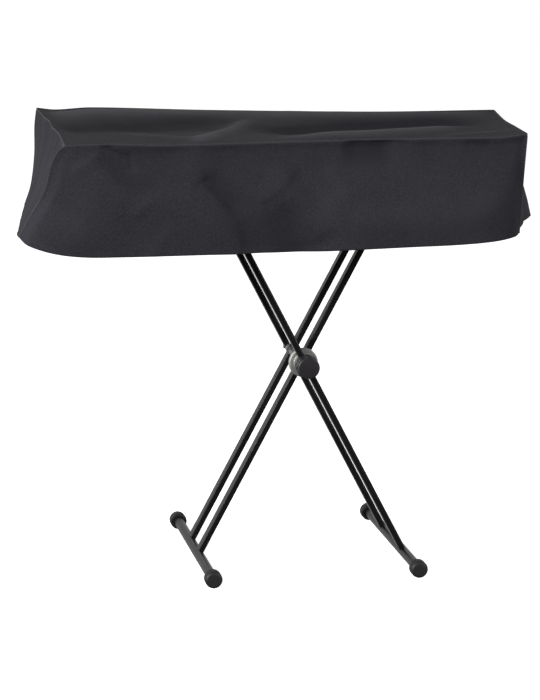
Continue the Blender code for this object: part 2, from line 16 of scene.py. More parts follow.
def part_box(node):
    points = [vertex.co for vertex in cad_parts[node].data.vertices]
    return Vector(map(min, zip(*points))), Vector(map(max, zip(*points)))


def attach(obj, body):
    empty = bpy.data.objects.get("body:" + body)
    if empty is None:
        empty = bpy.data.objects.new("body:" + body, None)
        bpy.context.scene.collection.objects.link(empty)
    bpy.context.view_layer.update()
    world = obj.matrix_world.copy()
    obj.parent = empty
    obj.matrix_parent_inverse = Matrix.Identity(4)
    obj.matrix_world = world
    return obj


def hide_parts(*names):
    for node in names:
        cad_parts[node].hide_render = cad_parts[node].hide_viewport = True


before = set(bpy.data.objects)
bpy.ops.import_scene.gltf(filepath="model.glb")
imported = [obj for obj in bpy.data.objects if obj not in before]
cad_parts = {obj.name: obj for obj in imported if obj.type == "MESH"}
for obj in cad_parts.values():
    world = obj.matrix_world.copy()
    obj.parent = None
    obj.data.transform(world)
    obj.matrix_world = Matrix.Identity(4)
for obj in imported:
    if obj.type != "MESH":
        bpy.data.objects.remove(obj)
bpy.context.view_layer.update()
for startup_object in [o for o in bpy.data.objects if o.type in ("CAMERA", "LIGHT")]:
    bpy.data.objects.remove(startup_object)

# ---------------------------------------------------------------- tubes of the stand
# Floor tubes, crossed legs and top arms are drawn steel tube, cut, saddled and welded. They are
# powder coated black after welding: the melted powder leaves a gloss with a faint orange peel.

TUBE_NODES = (
    "foot_bar_left", "foot_bar_right", "inner_leg_front", "inner_leg_back",
    "outer_leg_front", "outer_leg_back", "arm_left", "arm_right",
)
MM = 0.001
ORANGE_PEEL = 2.2 * MM  # width of one dimple of the melted powder
PEEL_DEPTH = 0.03 * MM
HANDLED_PATCH = 60 * MM


def linear(hex_colour):
    """An sRGB hex colour as the linear red, green, blue and alpha that shaders take."""
    parts = [int(hex_colour[i : i + 2], 16) / 255 for i in (1, 3, 5)]
    return (*(c / 12.92 if c <= 0.04045 else ((c + 0.055) / 1.055) ** 2.4 for c in parts), 1.0)


def add_node(tree, kind, settings=None, links=None, output=None):
    """Adds a node and gives one of its outputs, the first in use unless it is named.

    Settings are properties and input values, and links are input sockets to their sources. Both are
    by name, or by number where a node has several inputs of one name.
    """
    node = tree.nodes.new("ShaderNode" + kind)

    def entry(name):
        if isinstance(name, int):
            return node.inputs[name]
        return next((socket for socket in node.inputs if socket.enabled and socket.name == name), None)

    for name, value in (settings or {}).items():
        if entry(name):
            entry(name).default_value = value
        else:
            setattr(node, name, value)
    for name, source in (links or {}).items():
        tree.links.new(source, entry(name))
    return next(socket for socket in node.outputs if socket.enabled and output in (None, socket.name))


def new_material(name, colour, roughness, metallic=0.0, specular=0.5):
    """A material with its even values set on the shader, and the object's coordinates to hand."""
    material = bpy.data.materials.new(name)
    material.use_nodes = True
    tree = material.node_tree
    shader = tree.nodes["Principled BSDF"]
    shader.inputs["Base Color"].default_value = linear(colour)
    shader.inputs["Roughness"].default_value = roughness
    shader.inputs["Metallic"].default_value = metallic
    shader.inputs["Specular IOR Level"].default_value = specular
    place = add_node(tree, "TexCoord", output="Object")
    return material, tree, shader, place


def gloss_powder_coat():
    # Melted powder: a deep black gloss, broken by shallow dimples and by duller, handled patches.
    material, tree, shader, place = new_material("gloss_black_powder_coat", "#141314", 0.30)
    peel = add_node(tree, "TexNoise", {"Scale": 1 / ORANGE_PEEL}, {"Vector": place})
    dimpled = add_node(tree, "Bump", {"Distance": PEEL_DEPTH}, {"Height": peel})
    tree.links.new(dimpled, shader.inputs["Normal"])
    handling_and_shade_share = add_node(tree, "TexNoise", {"Scale": 1 / HANDLED_PATCH, "Detail": 4.0}, {"Vector": place})
    gloss = add_node(tree, "MapRange", {"To Min": 0.22, "To Max": 0.34}, {"Value": handling_and_shade_share})
    tree.links.new(gloss, shader.inputs["Roughness"])
    return material


def finish_node(name, material):
    """Gives a CAD node its finish. Its shape and place stay as they are."""
    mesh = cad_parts[name].data
    mesh.materials.clear()
    mesh.materials.append(material)


powder_coat = gloss_powder_coat()
for tube in TUBE_NODES:
    finish_node(tube, powder_coat)

# ---------------------------------------------------------------- rubber boots
# A moulded rubber boot is pushed over each end of the floor tubes, and a square one over each end
# of the arms. Each round boot has a rolled mouth, a full nose and a small flat where it stands.

BOOT_NODES = (
    "foot_cap_left_front", "foot_cap_left_back", "foot_cap_right_front", "foot_cap_right_back",
)
ARM_BOOT_NODES = (
    "arm_cap_left_front", "arm_cap_left_back", "arm_cap_right_front", "arm_cap_right_back",
)
BOOT_NOSE = 7.5 * MM  # rounding of the closed end
BOOT_ROLL = 1.6 * MM  # radius of the rolled mouth
BOOT_GROOVE = 0.7 * MM
BOOT_GROOVE_PLACE = 3.4 * BOOT_ROLL  # from the mouth
RUBBER_GRAIN, RUBBER_GRAIN_DEPTH = 0.8 * MM, 0.05 * MM
RUBBER_BLOOM = 14 * MM
TURNED_STEPS = 72


def moulded_rubber():
    # Moulded in an eroded tool: an even dull black with a fine grain and a pale, cloudy bloom.
    material, tree, shader, place = new_material("moulded_rubber", "#1f1d1f", 0.55, specular=0.4)
    grain = add_node(tree, "TexNoise", {"Scale": 1 / RUBBER_GRAIN}, {"Vector": place})
    grained = add_node(tree, "Bump", {"Distance": RUBBER_GRAIN_DEPTH}, {"Height": grain})
    tree.links.new(grained, shader.inputs["Normal"])
    bloom = add_node(tree, "TexNoise", {"Scale": 1 / RUBBER_BLOOM, "Detail": 3.0}, {"Vector": place})
    black = {"data_type": "RGBA", "A": linear("#1a181a"), "B": linear("#262426")}
    tree.links.new(add_node(tree, "Mix", black, {"Factor": bloom}), shader.inputs["Base Color"])
    dull = add_node(tree, "MapRange", {"To Min": 0.48, "To Max": 0.64}, {"Value": bloom})
    tree.links.new(dull, shader.inputs["Roughness"])
    return material


def arc(middle, radius, start, end, steps):
    """Points on an arc, by degrees from the Y axis, as (radius from the axis, y)."""
    turns = [math.radians(start + (end - start) * i / steps) for i in range(steps + 1)]
    return [(middle[0] + radius * math.sin(a), middle[1] + radius * math.cos(a)) for a in turns]


def turned(outline, closed=False, steps=TURNED_STEPS):
    """A mesh turned about the Y axis from (radius, y) points."""
    bm = bmesh.new()
    points = [bm.verts.new((radius, y, 0.0)) for radius, y in outline]
    edges = [bm.edges.new(pair) for pair in zip(points, points[1:])]
    if closed:
        edges.append(bm.edges.new((points[-1], points[0])))
    bmesh.ops.spin(
        bm, geom=points + edges, cent=(0, 0, 0), axis=(0, 1, 0),
        angle=math.tau, steps=steps, use_merge=True,
    )
    bmesh.ops.remove_doubles(bm, verts=bm.verts, dist=1e-6)
    bmesh.ops.recalc_face_normals(bm, faces=bm.faces)
    return bm


def add_piece(name, bm, material, stands_for=(), sharp=35):
    """The bmesh as a finished piece that rides on the stand."""
    mesh = bpy.data.meshes.new(name)
    bm.to_mesh(mesh)
    bm.free()
    mesh.shade_smooth()
    mesh.set_sharp_from_angle(angle=math.radians(sharp))
    mesh.materials.append(material)
    piece = bpy.data.objects.new(name, mesh)
    bpy.context.scene.collection.objects.link(piece)
    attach(piece, "root")
    if stands_for:
        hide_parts(*stands_for)
    return piece


def rubber_boot(node, material):
    """A turned boot over one end of a floor tube, cut flat where it stands on the floor."""
    low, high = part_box(node)
    half = (high.y - low.y) / 2
    radius = (high.x - low.x) / 2
    bar_low, bar_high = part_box("foot_bar_left" if "left" in node else "foot_bar_right")
    bore = (bar_high.x - bar_low.x) / 2
    outline = [(0, half), *arc((radius - BOOT_NOSE, half - BOOT_NOSE), BOOT_NOSE, 0, 90, 10)]
    groove_y = -half + BOOT_GROOVE_PLACE
    outline += [(radius, groove_y + BOOT_GROOVE), (radius - BOOT_GROOVE, groove_y)]
    outline += [(radius, groove_y - BOOT_GROOVE)]
    outline += arc((radius - BOOT_ROLL, -half + BOOT_ROLL), BOOT_ROLL, 90, 180, 5)
    outline += arc((bore + BOOT_ROLL, -half + BOOT_ROLL), BOOT_ROLL, 180, 270, 4)
    outline += [(bore, half - BOOT_NOSE), (0, half - BOOT_NOSE)]
    bm = turned(outline)
    if "front" in node:
        bmesh.ops.rotate(bm, verts=bm.verts, matrix=Matrix.Rotation(math.pi, 3, "Z"))
    middle = ((low.x + high.x) / 2, (low.y + high.y) / 2, high.z - radius)
    bmesh.ops.translate(bm, verts=bm.verts, vec=middle)
    geometry = bm.verts[:] + bm.edges[:] + bm.faces[:]
    cut = bmesh.ops.bisect_plane(bm, geom=geometry, plane_no=(0, 0, -1), clear_outer=True)
    rim = [item for item in cut["geom_cut"] if isinstance(item, bmesh.types.BMEdge)]
    bmesh.ops.contextual_create(bm, geom=rim)
    bmesh.ops.recalc_face_normals(bm, faces=bm.faces)
    return add_piece("boot_" + node, bm, material, [node])


rubber = moulded_rubber()
for boot_node in BOOT_NODES:
    rubber_boot(boot_node, rubber)
for boot_node in ARM_BOOT_NODES:
    finish_node(boot_node, rubber)

# ---------------------------------------------------------------- pivot bolt, sleeve and spacer
# One zinc-plated hexagon bolt goes through all four legs. A plain sleeve keeps the inner legs apart,
# and a short cast spacer fills the slot behind them.

HEX_ACROSS = 17 * MM
BOLT_CHAMFER = 0.6 * MM
BOLT_HEAD = 7 * MM
HEAD_BEVEL = 0.8 * MM
SHANK_SHARE = 0.5  # of the sleeve that the shank fills
DRAWING_MARK, DRAWING_DEPTH = 1.5 * MM, 0.02 * MM
TURNING_RING = 8 * MM
CAST_SKIN, CAST_RELIEF = 3 * MM, 0.12 * MM


def zinc_plate():
    # Bright zinc on drawn steel: a cool grey mirror, made satin by fine drawing marks.
    material, tree, shader, place = new_material("zinc_plated_steel", "#a7a8a4", 0.34, metallic=1.0)
    drawn = add_node(tree, "TexNoise", {"Scale": 1 / DRAWING_MARK}, {"Vector": place})
    satin = add_node(tree, "MapRange", {"To Min": 0.26, "To Max": 0.42}, {"Value": drawn})
    tree.links.new(satin, shader.inputs["Roughness"])
    marked = add_node(tree, "Bump", {"Distance": DRAWING_DEPTH}, {"Height": drawn})
    tree.links.new(marked, shader.inputs["Normal"])
    return material


def cast_zinc(centre):
    # Die cast, faced on a lathe and tumbled: warm matt grey, mottled by its cast skin, faintly ringed.
    material, tree, shader, place = new_material("die_cast_zinc", "#a0a09a", 0.60, metallic=0.8)
    centred = add_node(tree, "Mapping", {"Location": -centre}, {"Vector": place})
    wave = {"wave_type": "RINGS", "rings_direction": "Y", "Scale": 1 / TURNING_RING, "Distortion": 0.6}
    rings = add_node(tree, "TexWave", wave, {"Vector": centred}, output="Fac")
    skin = add_node(tree, "TexNoise", {"Scale": 1 / CAST_SKIN, "Detail": 4.0}, {"Vector": place})
    relief = add_node(tree, "Math", {"operation": "MULTIPLY"}, {0: rings, 1: skin})
    turned_face = add_node(tree, "Bump", {"Distance": CAST_RELIEF}, {"Height": relief})
    tree.links.new(turned_face, shader.inputs["Normal"])
    satin = add_node(tree, "MapRange", {"To Min": 0.56, "To Max": 0.72}, {"Value": skin})
    tree.links.new(satin, shader.inputs["Roughness"])
    mottle = {"data_type": "RGBA", "A": linear("#8c8c88"), "B": linear("#b4b4b0")}
    tree.links.new(add_node(tree, "Mix", mottle, {"Factor": skin}), shader.inputs["Base Color"])
    return material


bolt_low, bolt_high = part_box("pivot_bolt")
bolt_axis = (bolt_low + bolt_high) / 2
sleeve_low, sleeve_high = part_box("pivot_sleeve")
bolt_axis.y = (sleeve_low.y + sleeve_high.y) / 2
zinc = zinc_plate()
cast = cast_zinc(bolt_axis)
finish_node("pivot_sleeve", zinc)
finish_node("back_spacer", cast)


def on_bolt(bm, y):
    """Moves a turned piece onto the bolt, its middle this far along Y."""
    bmesh.ops.translate(bm, verts=bm.verts, vec=(bolt_axis.x, y, bolt_axis.z))
    return bm


def hexagon_bolt():
    """Shank to the front, chamfered hexagon head at the back."""
    shank = SHANK_SHARE * (sleeve_high.x - sleeve_low.x) / 2
    length = bolt_high.y - bolt_low.y - BOLT_HEAD
    rounded_tip = [(0, 0), (shank - BOLT_CHAMFER, 0), (shank, BOLT_CHAMFER)]
    bm = turned([*rounded_tip, (shank, length), (0, length)], steps=32)
    upright = Matrix.Rotation(math.pi / 2, 4, "X")
    head_place = Matrix.Translation((0, length + BOLT_HEAD / 2, 0)) @ upright
    corner = HEX_ACROSS / math.sqrt(3)
    head = bmesh.ops.create_cone(
        bm, cap_ends=True, segments=6, radius1=corner, radius2=corner, depth=BOLT_HEAD,
        matrix=head_place,
    )["verts"]
    far_end = length + BOLT_HEAD / 2
    rim = {edge for v in head for edge in v.link_edges if all(w.co.y > far_end for w in edge.verts)}
    bmesh.ops.bevel(
        bm, geom=list(rim), offset=HEAD_BEVEL, segments=2, profile=0.5, affect="EDGES", material=-1
    )
    return add_piece("hexagon_bolt", on_bolt(bm, bolt_low.y), zinc, ["pivot_bolt"])


hexagon_bolt()

# ---------------------------------------------------------------- lock disc
# The two halves of the toothed lock are die cast and left bare. The front one shows as a ring with
# a turned boss, fine turning rings and a chamfered rim.

DISC_EDGE = 0.8 * MM
DISC_BORE = 5.3 * MM
DISC_BOSS = 24 * MM
DISC_STEP = 2.2 * MM  # from the boss down to the rim
DISC_FILLET = 1.5 * MM
DISC_RIM = (3.0 * MM, 2.4 * MM)  # its chamfer, across and deep
DISC_RINGS = (10.5, 14.0, 17.5, 21.0, 27.0, 30.5)  # radii of its turning rings, in mm
DISC_RING_DEPTH = 0.35 * MM
DISC_RING_HALF = 0.5 * MM


def lock_disc():
    low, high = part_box("lock_disc")
    radius, half = (high.x - low.x) / 2, (high.y - low.y) / 2
    foot = -half + DISC_STEP
    face = [(DISC_BORE, -half)]
    for ring in (radius_mm * MM for radius_mm in DISC_RINGS):
        y = -half if ring < DISC_BOSS else foot
        if face[-1][0] < DISC_BOSS < ring:
            face += [(DISC_BOSS - DISC_EDGE, -half), (DISC_BOSS, -half + DISC_EDGE)]
            face += [(DISC_BOSS + DISC_FILLET, foot)]
        face += [(ring - DISC_RING_HALF, y), (ring, y + DISC_RING_DEPTH), (ring + DISC_RING_HALF, y)]
    face += [(radius - DISC_RIM[0], foot), (radius, foot + DISC_RIM[1])]
    back = [(r, -y) for r, y in reversed(face)]
    bm = turned(face + back, closed=True, steps=96)
    placed = on_bolt(bm, (low.y + high.y) / 2)
    return add_piece("cast_lock_disc", placed, cast, ["lock_disc"])


lock_disc()

# ---------------------------------------------------------------- lock knob
# A moulded black hand knob with a smooth, slightly domed cap. Behind the cap it has eight shallow
# grip lobes. The mould was spark eroded, which leaves an even fine texture.

KNOB_LOBES = 8
KNOB_CAP_RADIUS = 26.8 * MM
KNOB_CAP_LENGTH = 18 * MM
KNOB_ROUNDING = 3.2 * MM
KNOB_DOME = 1.2 * MM
KNOB_DOME_CURVE = ((0, 0), (0.35, 0.12), (0.7, 0.5), (1, 1))  # shares of its radius and of its rise
KNOB_NECK = 0.5 * MM  # gap behind the cap
KNOB_SHOULDER = 3 * MM  # rounding of both ends of the grip
KNOB_GRIP = (1.5 * MM, 0.3 * MM)  # the lobes start this far inside the rim of the cap and behind it
KNOB_SCALLOP = 1.9 * MM
KNOB_LIP = 0.9 * MM  # the cap's rear edge draws in this much
KNOB_BORE = (5.3 * MM, 14 * MM)  # its radius, and how far from the front it stops
SPARK_GRAIN, SPARK_DEPTH = 0.9 * MM, 0.06 * MM
HAND_POLISH = 18 * MM


def moulded_plastic():
    # Moulded in a spark-eroded tool: an even fine texture, rubbed a little glossier by hands.
    material, tree, shader, place = new_material(
        "spark_textured_plastic", "#242225", 0.42, specular=0.45
    )
    spark = add_node(tree, "TexNoise", {"Scale": 1 / SPARK_GRAIN, "Detail": 3.0}, {"Vector": place})
    pitted = add_node(tree, "Bump", {"Distance": SPARK_DEPTH}, {"Height": spark})
    tree.links.new(pitted, shader.inputs["Normal"])
    handling_and_shade_share = add_node(tree, "TexNoise", {"Scale": 1 / HAND_POLISH}, {"Vector": place})
    gloss = add_node(tree, "MapRange", {"To Min": 0.34, "To Max": 0.50}, {"Value": handling_and_shade_share})
    tree.links.new(gloss, shader.inputs["Roughness"])
    return material


def knob_outline(length, lobe):
    """(radius, y) from the middle of the domed cap, over its rim, down the lobes and into the bore."""
    rise = KNOB_CAP_RADIUS - KNOB_ROUNDING
    outline = [(across * rise, up * KNOB_DOME) for across, up in KNOB_DOME_CURVE]
    rim = arc((rise, 0), KNOB_ROUNDING, 0, 90, 6)[1:]
    outline += [(r, KNOB_DOME + KNOB_ROUNDING - y) for r, y in rim]
    outline += [(KNOB_CAP_RADIUS, KNOB_CAP_LENGTH - KNOB_LIP)]
    outline += [(KNOB_CAP_RADIUS - KNOB_LIP, KNOB_CAP_LENGTH)]
    shoulder = arc((lobe - KNOB_SHOULDER, 0), KNOB_SHOULDER, 0, 90, 4)
    outline += [(r, KNOB_CAP_LENGTH + KNOB_NECK + KNOB_SHOULDER - y) for r, y in shoulder]
    outline += [(r, length - KNOB_SHOULDER + y) for r, y in reversed(shoulder)]
    bore, stop = KNOB_BORE
    return [*outline, (bore, length), (bore, stop), (0, stop)]


def lock_knob():
    low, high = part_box("lock_knob")
    bm = turned(knob_outline(high.y - low.y, (high.x - low.x) / 2), steps=96)
    grip_inside, grip_behind = KNOB_GRIP
    for vert in bm.verts:
        distance = math.hypot(vert.co.x, vert.co.z)
        if distance > KNOB_CAP_RADIUS - grip_inside and vert.co.y > KNOB_CAP_LENGTH + grip_behind:
            turn = math.atan2(vert.co.z, vert.co.x)
            shrink = KNOB_SCALLOP * (0.5 - 0.5 * math.cos(KNOB_LOBES * turn)) / distance
            vert.co.x *= 1 - shrink
            vert.co.z *= 1 - shrink
    placed = on_bolt(bm, low.y)
    return add_piece("hand_knob", placed, moulded_plastic(), ["lock_knob"])


lock_knob()

# ---------------------------------------------------------------- cut and drape of the cover
# Five panels of black polyester, plain woven and coated on the back, are sewn into a lid: a tapered
# top and four skirts. The tables hold how it hangs over its bars, as the CAD has it, so that every
# panel comes out on its own solid. Places are from the middle of the stand.
inner_front, inner_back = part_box("inner_leg_front"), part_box("inner_leg_back")
STAND_MIDDLE = Vector((bolt_axis.x, (inner_front[0].y + inner_back[1].y) / 2, 0.0))

UP = Vector((0, 0, 1))
TOP_HEIGHT = 1.079
SKIRT_FADE = 0.03  # folds die away this near a seam or corner of the skirt
TOP_FADE = 0.06  # and this near a seam of the top

# Corners of the tapered top: in plan, and how far each stands above TOP_HEIGHT.
CORNERS = {
    "front_left": (-0.617, -0.379, 0.000),
    "front_right": (0.505, -0.262, 0.001),
    "back_right": (0.560, 0.253, 0.002),
    "back_left": (-0.602, 0.412, 0.002),
}
PANEL_ENDS = {  # counter-clockwise as seen from above
    "front": ("front_left", "front_right"),
    "right": ("front_right", "back_right"),
    "back": ("back_right", "back_left"),
    "left": ("back_left", "front_left"),
}

# Where a top seam leaves the straight line between its corners: bow is inward, dip is down.
Seam = namedtuple("Seam", "share bow dip")
STRAIGHT_START = Seam(0.0, 0.0, 0.0)
STRAIGHT_END = Seam(1.0, 0.0, 0.0)
SEAMS = {
    "front": (
        Seam(0.040, 0.000, -0.0010),
        Seam(0.100, 0.001, -0.0005),
        Seam(0.217, 0.002, 0.0046),
        Seam(0.510, 0.002, 0.0036),
        Seam(0.810, 0.002, 0.0053),
        Seam(0.900, 0.001, 0.0065),
        Seam(0.950, 0.000, 0.0062),
    ),
    "right": (Seam(0.350, 0.001, 0.0030), Seam(0.650, 0.002, 0.0055)),
    "back": (
        Seam(0.264, 0.002, 0.0060),
        Seam(0.635, 0.002, 0.0035),
        Seam(0.882, 0.001, -0.0015),
        Seam(0.960, 0.000, 0.0045),
    ),
    "left": (
        Seam(0.270, 0.003, 0.0000),
        Seam(0.370, 0.008, 0.0000),
        Seam(0.530, 0.004, 0.0000),
        Seam(0.680, 0.008, 0.0000),
        Seam(0.820, 0.005, 0.0000),
    ),
}

# The hem from corner to corner: its place in plan, how far it hangs below the top, how late on the
# way down the cloth swings out to it (1 is a straight slant), and how far it bellies out half-way.
Hem = namedtuple("Hem", "x y drop lateness belly")
CORNER_HEMS = {
    "front_left": Hem(-0.718, -0.300, 0.218, 1.10, 0.0),
    "front_right": Hem(0.5115, -0.190, 0.249, 1.10, 0.0),
    "back_right": Hem(0.610, 0.262, 0.255, 1.40, 0.0),
    "back_left": Hem(-0.635, 0.410, 0.246, 2.20, 0.0),
}
PANEL_HEMS = {
    "front": (
        Hem(-0.699, -0.335, 0.234, 1.10, 0.003),
        Hem(-0.641, -0.362, 0.250, 1.00, 0.006),
        Hem(-0.571, -0.368, 0.258, 1.00, 0.008),
        Hem(-0.477, -0.364, 0.259, 1.00, 0.010),
        Hem(-0.285, -0.355, 0.258, 1.00, 0.011),
        Hem(-0.077, -0.332, 0.259, 1.00, 0.011),
        Hem(0.097, -0.320, 0.258, 1.00, 0.011),
        Hem(0.220, -0.303, 0.258, 1.05, 0.010),
        Hem(0.349, -0.286, 0.258, 1.10, 0.007),
        Hem(0.437, -0.262, 0.256, 1.10, 0.004),
        Hem(0.489, -0.230, 0.252, 1.10, 0.001),
    ),
    "right": (
        Hem(0.519, -0.168, 0.242, 1.10, 0.0),
        Hem(0.545, -0.110, 0.240, 1.10, 0.001),
        Hem(0.589, 0.000, 0.242, 1.10, 0.002),
        Hem(0.618, 0.090, 0.251, 1.10, 0.003),
        Hem(0.636, 0.160, 0.258, 1.15, 0.003),
        Hem(0.632, 0.222, 0.260, 1.30, 0.001),
    ),
    "back": (
        Hem(0.530, 0.294, 0.256, 1.20, 0.004),
        Hem(0.400, 0.298, 0.257, 1.10, 0.009),
        Hem(0.220, 0.332, 0.257, 1.00, 0.011),
        Hem(0.020, 0.338, 0.258, 1.00, 0.011),
        Hem(-0.160, 0.380, 0.257, 1.00, 0.011),
        Hem(-0.340, 0.386, 0.257, 1.00, 0.009),
        Hem(-0.500, 0.424, 0.254, 1.10, 0.005),
        Hem(-0.592, 0.430, 0.250, 1.40, 0.001),
    ),
    "left": (
        Hem(-0.650, 0.300, 0.245, 1.70, -0.002),
        Hem(-0.670, 0.150, 0.243, 1.45, -0.003),
        Hem(-0.689, 0.000, 0.241, 1.35, -0.003),
        Hem(-0.704, -0.120, 0.237, 1.25, -0.002),
        Hem(-0.713, -0.220, 0.225, 1.15, 0.0),
    ),
}

# A corner seam runs down through these places. The cloth on both sides of it follows, less and
# less over CORNER_REACH.
Corner = namedtuple("Corner", "drop x y")
CORNER_SEAMS = {
    "front_left": (
        Corner(0.013, -0.633, -0.379),
        Corner(0.047, -0.649, -0.376),
        Corner(0.090, -0.658, -0.367),
        Corner(0.118, -0.668, -0.356),
        Corner(0.170, -0.696, -0.330),
    ),
    "front_right": (Corner(0.060, 0.5045, -0.250), Corner(0.120, 0.5065, -0.230)),
    "back_right": (Corner(0.120, 0.575, 0.257),),
    "back_left": (
        Corner(0.045, -0.607, 0.411),
        Corner(0.115, -0.608, 0.411),
        Corner(0.195, -0.618, 0.411),
    ),
}
CORNER_REACH = 0.11

# Soft ridges (height above 0) and troughs (below 0) along straight lines. On the skirt, across is x on
# the long panels and y on the ends, and down is from the top seam.
SkirtFold = namedtuple("SkirtFold", "panel across_0 down_0 across_1 down_1 width height")
SKIRT_FOLDS = (
    SkirtFold("front", -0.265, 0.095, -0.150, 0.250, 0.026, -0.0060),
    SkirtFold("front", -0.319, 0.120, -0.219, 0.255, 0.030, 0.0030),
    SkirtFold("front", -0.072, 0.080, -0.140, 0.130, 0.026, -0.0030),
    SkirtFold("front", -0.072, 0.080, -0.020, 0.140, 0.024, -0.0030),
    SkirtFold("front", 0.010, 0.060, 0.080, 0.150, 0.030, -0.0020),
    SkirtFold("front", -0.518, 0.010, -0.468, 0.050, 0.016, -0.0030),
    SkirtFold("front", 0.100, 0.190, 0.380, 0.190, 0.040, 0.0040),
    SkirtFold("back", 0.310, 0.080, 0.230, 0.250, 0.040, -0.0060),
    SkirtFold("back", -0.240, 0.060, -0.180, 0.250, 0.045, -0.0060),
    SkirtFold("left", 0.212, 0.020, 0.152, 0.180, 0.030, 0.0030),
    SkirtFold("left", -0.008, 0.020, -0.088, 0.200, 0.035, -0.0030),
    SkirtFold("left", -0.208, 0.020, -0.268, 0.200, 0.030, 0.0040),
    SkirtFold("right", -0.012, 0.060, -0.062, 0.240, 0.050, -0.0050),
)
TopFold = namedtuple("TopFold", "x_0 y_0 x_1 y_1 width height")
TOP_FOLDS = (
    TopFold(-0.550, 0.150, -0.220, 0.200, 0.060, 0.0035),
    TopFold(-0.400, -0.040, -0.200, -0.020, 0.060, -0.0035),
    TopFold(-0.270, -0.250, -0.110, 0.090, 0.035, 0.0035),
    TopFold(-0.120, -0.090, 0.300, -0.020, 0.080, -0.0040),
    TopFold(-0.100, 0.170, 0.500, 0.150, 0.050, 0.0030),
    TopFold(0.020, -0.230, 0.400, -0.060, 0.045, 0.0030),
)


def mix(a, b, share):
    return a + (b - a) * share


def smooth_step(value):
    value = min(max(value, 0.0), 1.0)
    return value * value * (3 - 2 * value)


def curve_at(rows, key):
    """The row at this key, which is the first column, on a smooth curve through the rows."""
    index = 0
    while index < len(rows) - 2 and rows[index + 1][0] < key:
        index += 1
    start, end = rows[index], rows[index + 1]
    before, after = rows[max(index - 1, 0)], rows[min(index + 2, len(rows) - 1)]
    span = end[0] - start[0]
    t = (key - start[0]) / span
    leave = (t - 2 * t**2 + t**3) * span / (end[0] - before[0])
    arrive = (t**3 - t**2) * span / (after[0] - start[0])
    reached = 3 * t**2 - 2 * t**3
    return [
        a + (b - a) * reached + (b - p) * leave + (q - a) * arrive
        for p, a, b, q in zip(before, start, end, after)
    ]


@lru_cache(maxsize=None)
def top_corner(name):
    x, y, rise = CORNERS[name]
    return Vector((x, y, TOP_HEIGHT + rise))


def panel_ends(panel):
    start, end = PANEL_ENDS[panel]
    return top_corner(start), top_corner(end)


@lru_cache(maxsize=None)
def outward_of(panel):
    start, end = panel_ends(panel)
    return (end - start).cross(UP).normalized()


@lru_cache(maxsize=None)
def length_of(panel):
    start, end = panel_ends(panel)
    return (end - start).to_2d().length


@lru_cache(maxsize=None)
def seam_point(panel, share):
    """A point of the top seam of this panel."""
    start, end = panel_ends(panel)
    _, bow, dip = curve_at((STRAIGHT_START, *SEAMS[panel], STRAIGHT_END), share)
    return start.lerp(end, share) - outward_of(panel) * bow - UP * dip


@lru_cache(maxsize=None)
def hem_at(panel, share):
    """The hem this share of its length along the panel."""
    start, end = PANEL_ENDS[panel]
    rows = (CORNER_HEMS[start], *PANEL_HEMS[panel], CORNER_HEMS[end])
    lengths = [0.0]
    for a, b in zip(rows, rows[1:]):
        lengths.append(lengths[-1] + math.hypot(b.x - a.x, b.y - a.y))
    keyed = [(length / lengths[-1], *row) for length, row in zip(lengths, rows)]
    return Hem(*curve_at(keyed, share)[1:])


def slant(top, hem, down_share):
    """Where the cloth hangs between the top and the hem, in plan, before its folds."""
    swing = down_share**hem.lateness
    return Vector((mix(top.x, hem.x, swing), mix(top.y, hem.y, swing)))


@lru_cache(maxsize=None)
def corner_pull(name, down_share):
    """How far the corner seam lies from a plain slant, in plan."""
    top, hem = top_corner(name), CORNER_HEMS[name]
    rows = [Corner(0.0, top.x, top.y), *CORNER_SEAMS[name], Corner(hem.drop, hem.x, hem.y)]
    _, x, y = curve_at(rows, down_share * hem.drop)
    return Vector((x, y)) - slant(top, hem, down_share)


def line_bump(place, start, end, width, height):
    """How high a soft ridge along start-end stands at this place. It fades beyond its ends."""
    line = end - start
    share = min(max((place - start).dot(line) / line.length_squared, 0.0), 1.0)
    distance = (place - start - line * share).length
    return height * math.exp(-((distance / width) ** 2))


def fold_height(panel, place):
    """How far the folds push the cloth outward at this place across and down the panel."""
    return sum(
        line_bump(place, Vector(fold[1:3]), Vector(fold[3:5]), fold.width, fold.height)
        for fold in SKIRT_FOLDS
        if fold.panel == panel
    )


def skirt_point(panel, along_share, down_share):
    """A point of the skirt: 0 down is on the top seam, and 1 is on the hem."""
    top, hem = seam_point(panel, along_share), hem_at(panel, along_share)
    to_start, to_end = along_share * length_of(panel), (1 - along_share) * length_of(panel)
    plan = slant(top, hem, down_share)
    across = plan.x if panel in ("front", "back") else plan.y
    place = Vector((across, down_share * hem.drop))
    folds = fold_height(panel, place) * smooth_step(place.y / SKIRT_FADE)
    bulge = hem.belly * math.sin(math.pi * down_share) + folds
    plan += outward_of(panel).to_2d() * (bulge * smooth_step(min(to_start, to_end) / SKIRT_FADE))
    for name, distance in zip(PANEL_ENDS[panel], (to_start, to_end)):
        plan += corner_pull(name, down_share) * (1 - smooth_step(distance / CORNER_REACH))
    return Vector((*plan, mix(top.z, TOP_HEIGHT - hem.drop, down_share)))


def top_point(along_share, back_share):
    """A point of the top, spanned between its four seams and raised or sunk by its folds."""
    front, back = seam_point("front", along_share), seam_point("back", 1 - along_share)
    left, right = seam_point("left", 1 - back_share), seam_point("right", back_share)
    near = top_corner("front_left").lerp(top_corner("front_right"), along_share)
    far = top_corner("back_left").lerp(top_corner("back_right"), along_share)
    point = front.lerp(back, back_share) + left.lerp(right, along_share) - near.lerp(far, back_share)
    place = point.to_2d()
    rise = sum(
        line_bump(place, Vector(fold[0:2]), Vector(fold[2:4]), fold.width, fold.height)
        for fold in TOP_FOLDS
    )
    along_edge = min(along_share, 1 - along_share) * (front - back).length
    back_edge = min(back_share, 1 - back_share) * (front - back).length
    point.z += rise * smooth_step(along_edge / TOP_FADE) * smooth_step(back_edge / TOP_FADE)
    return point
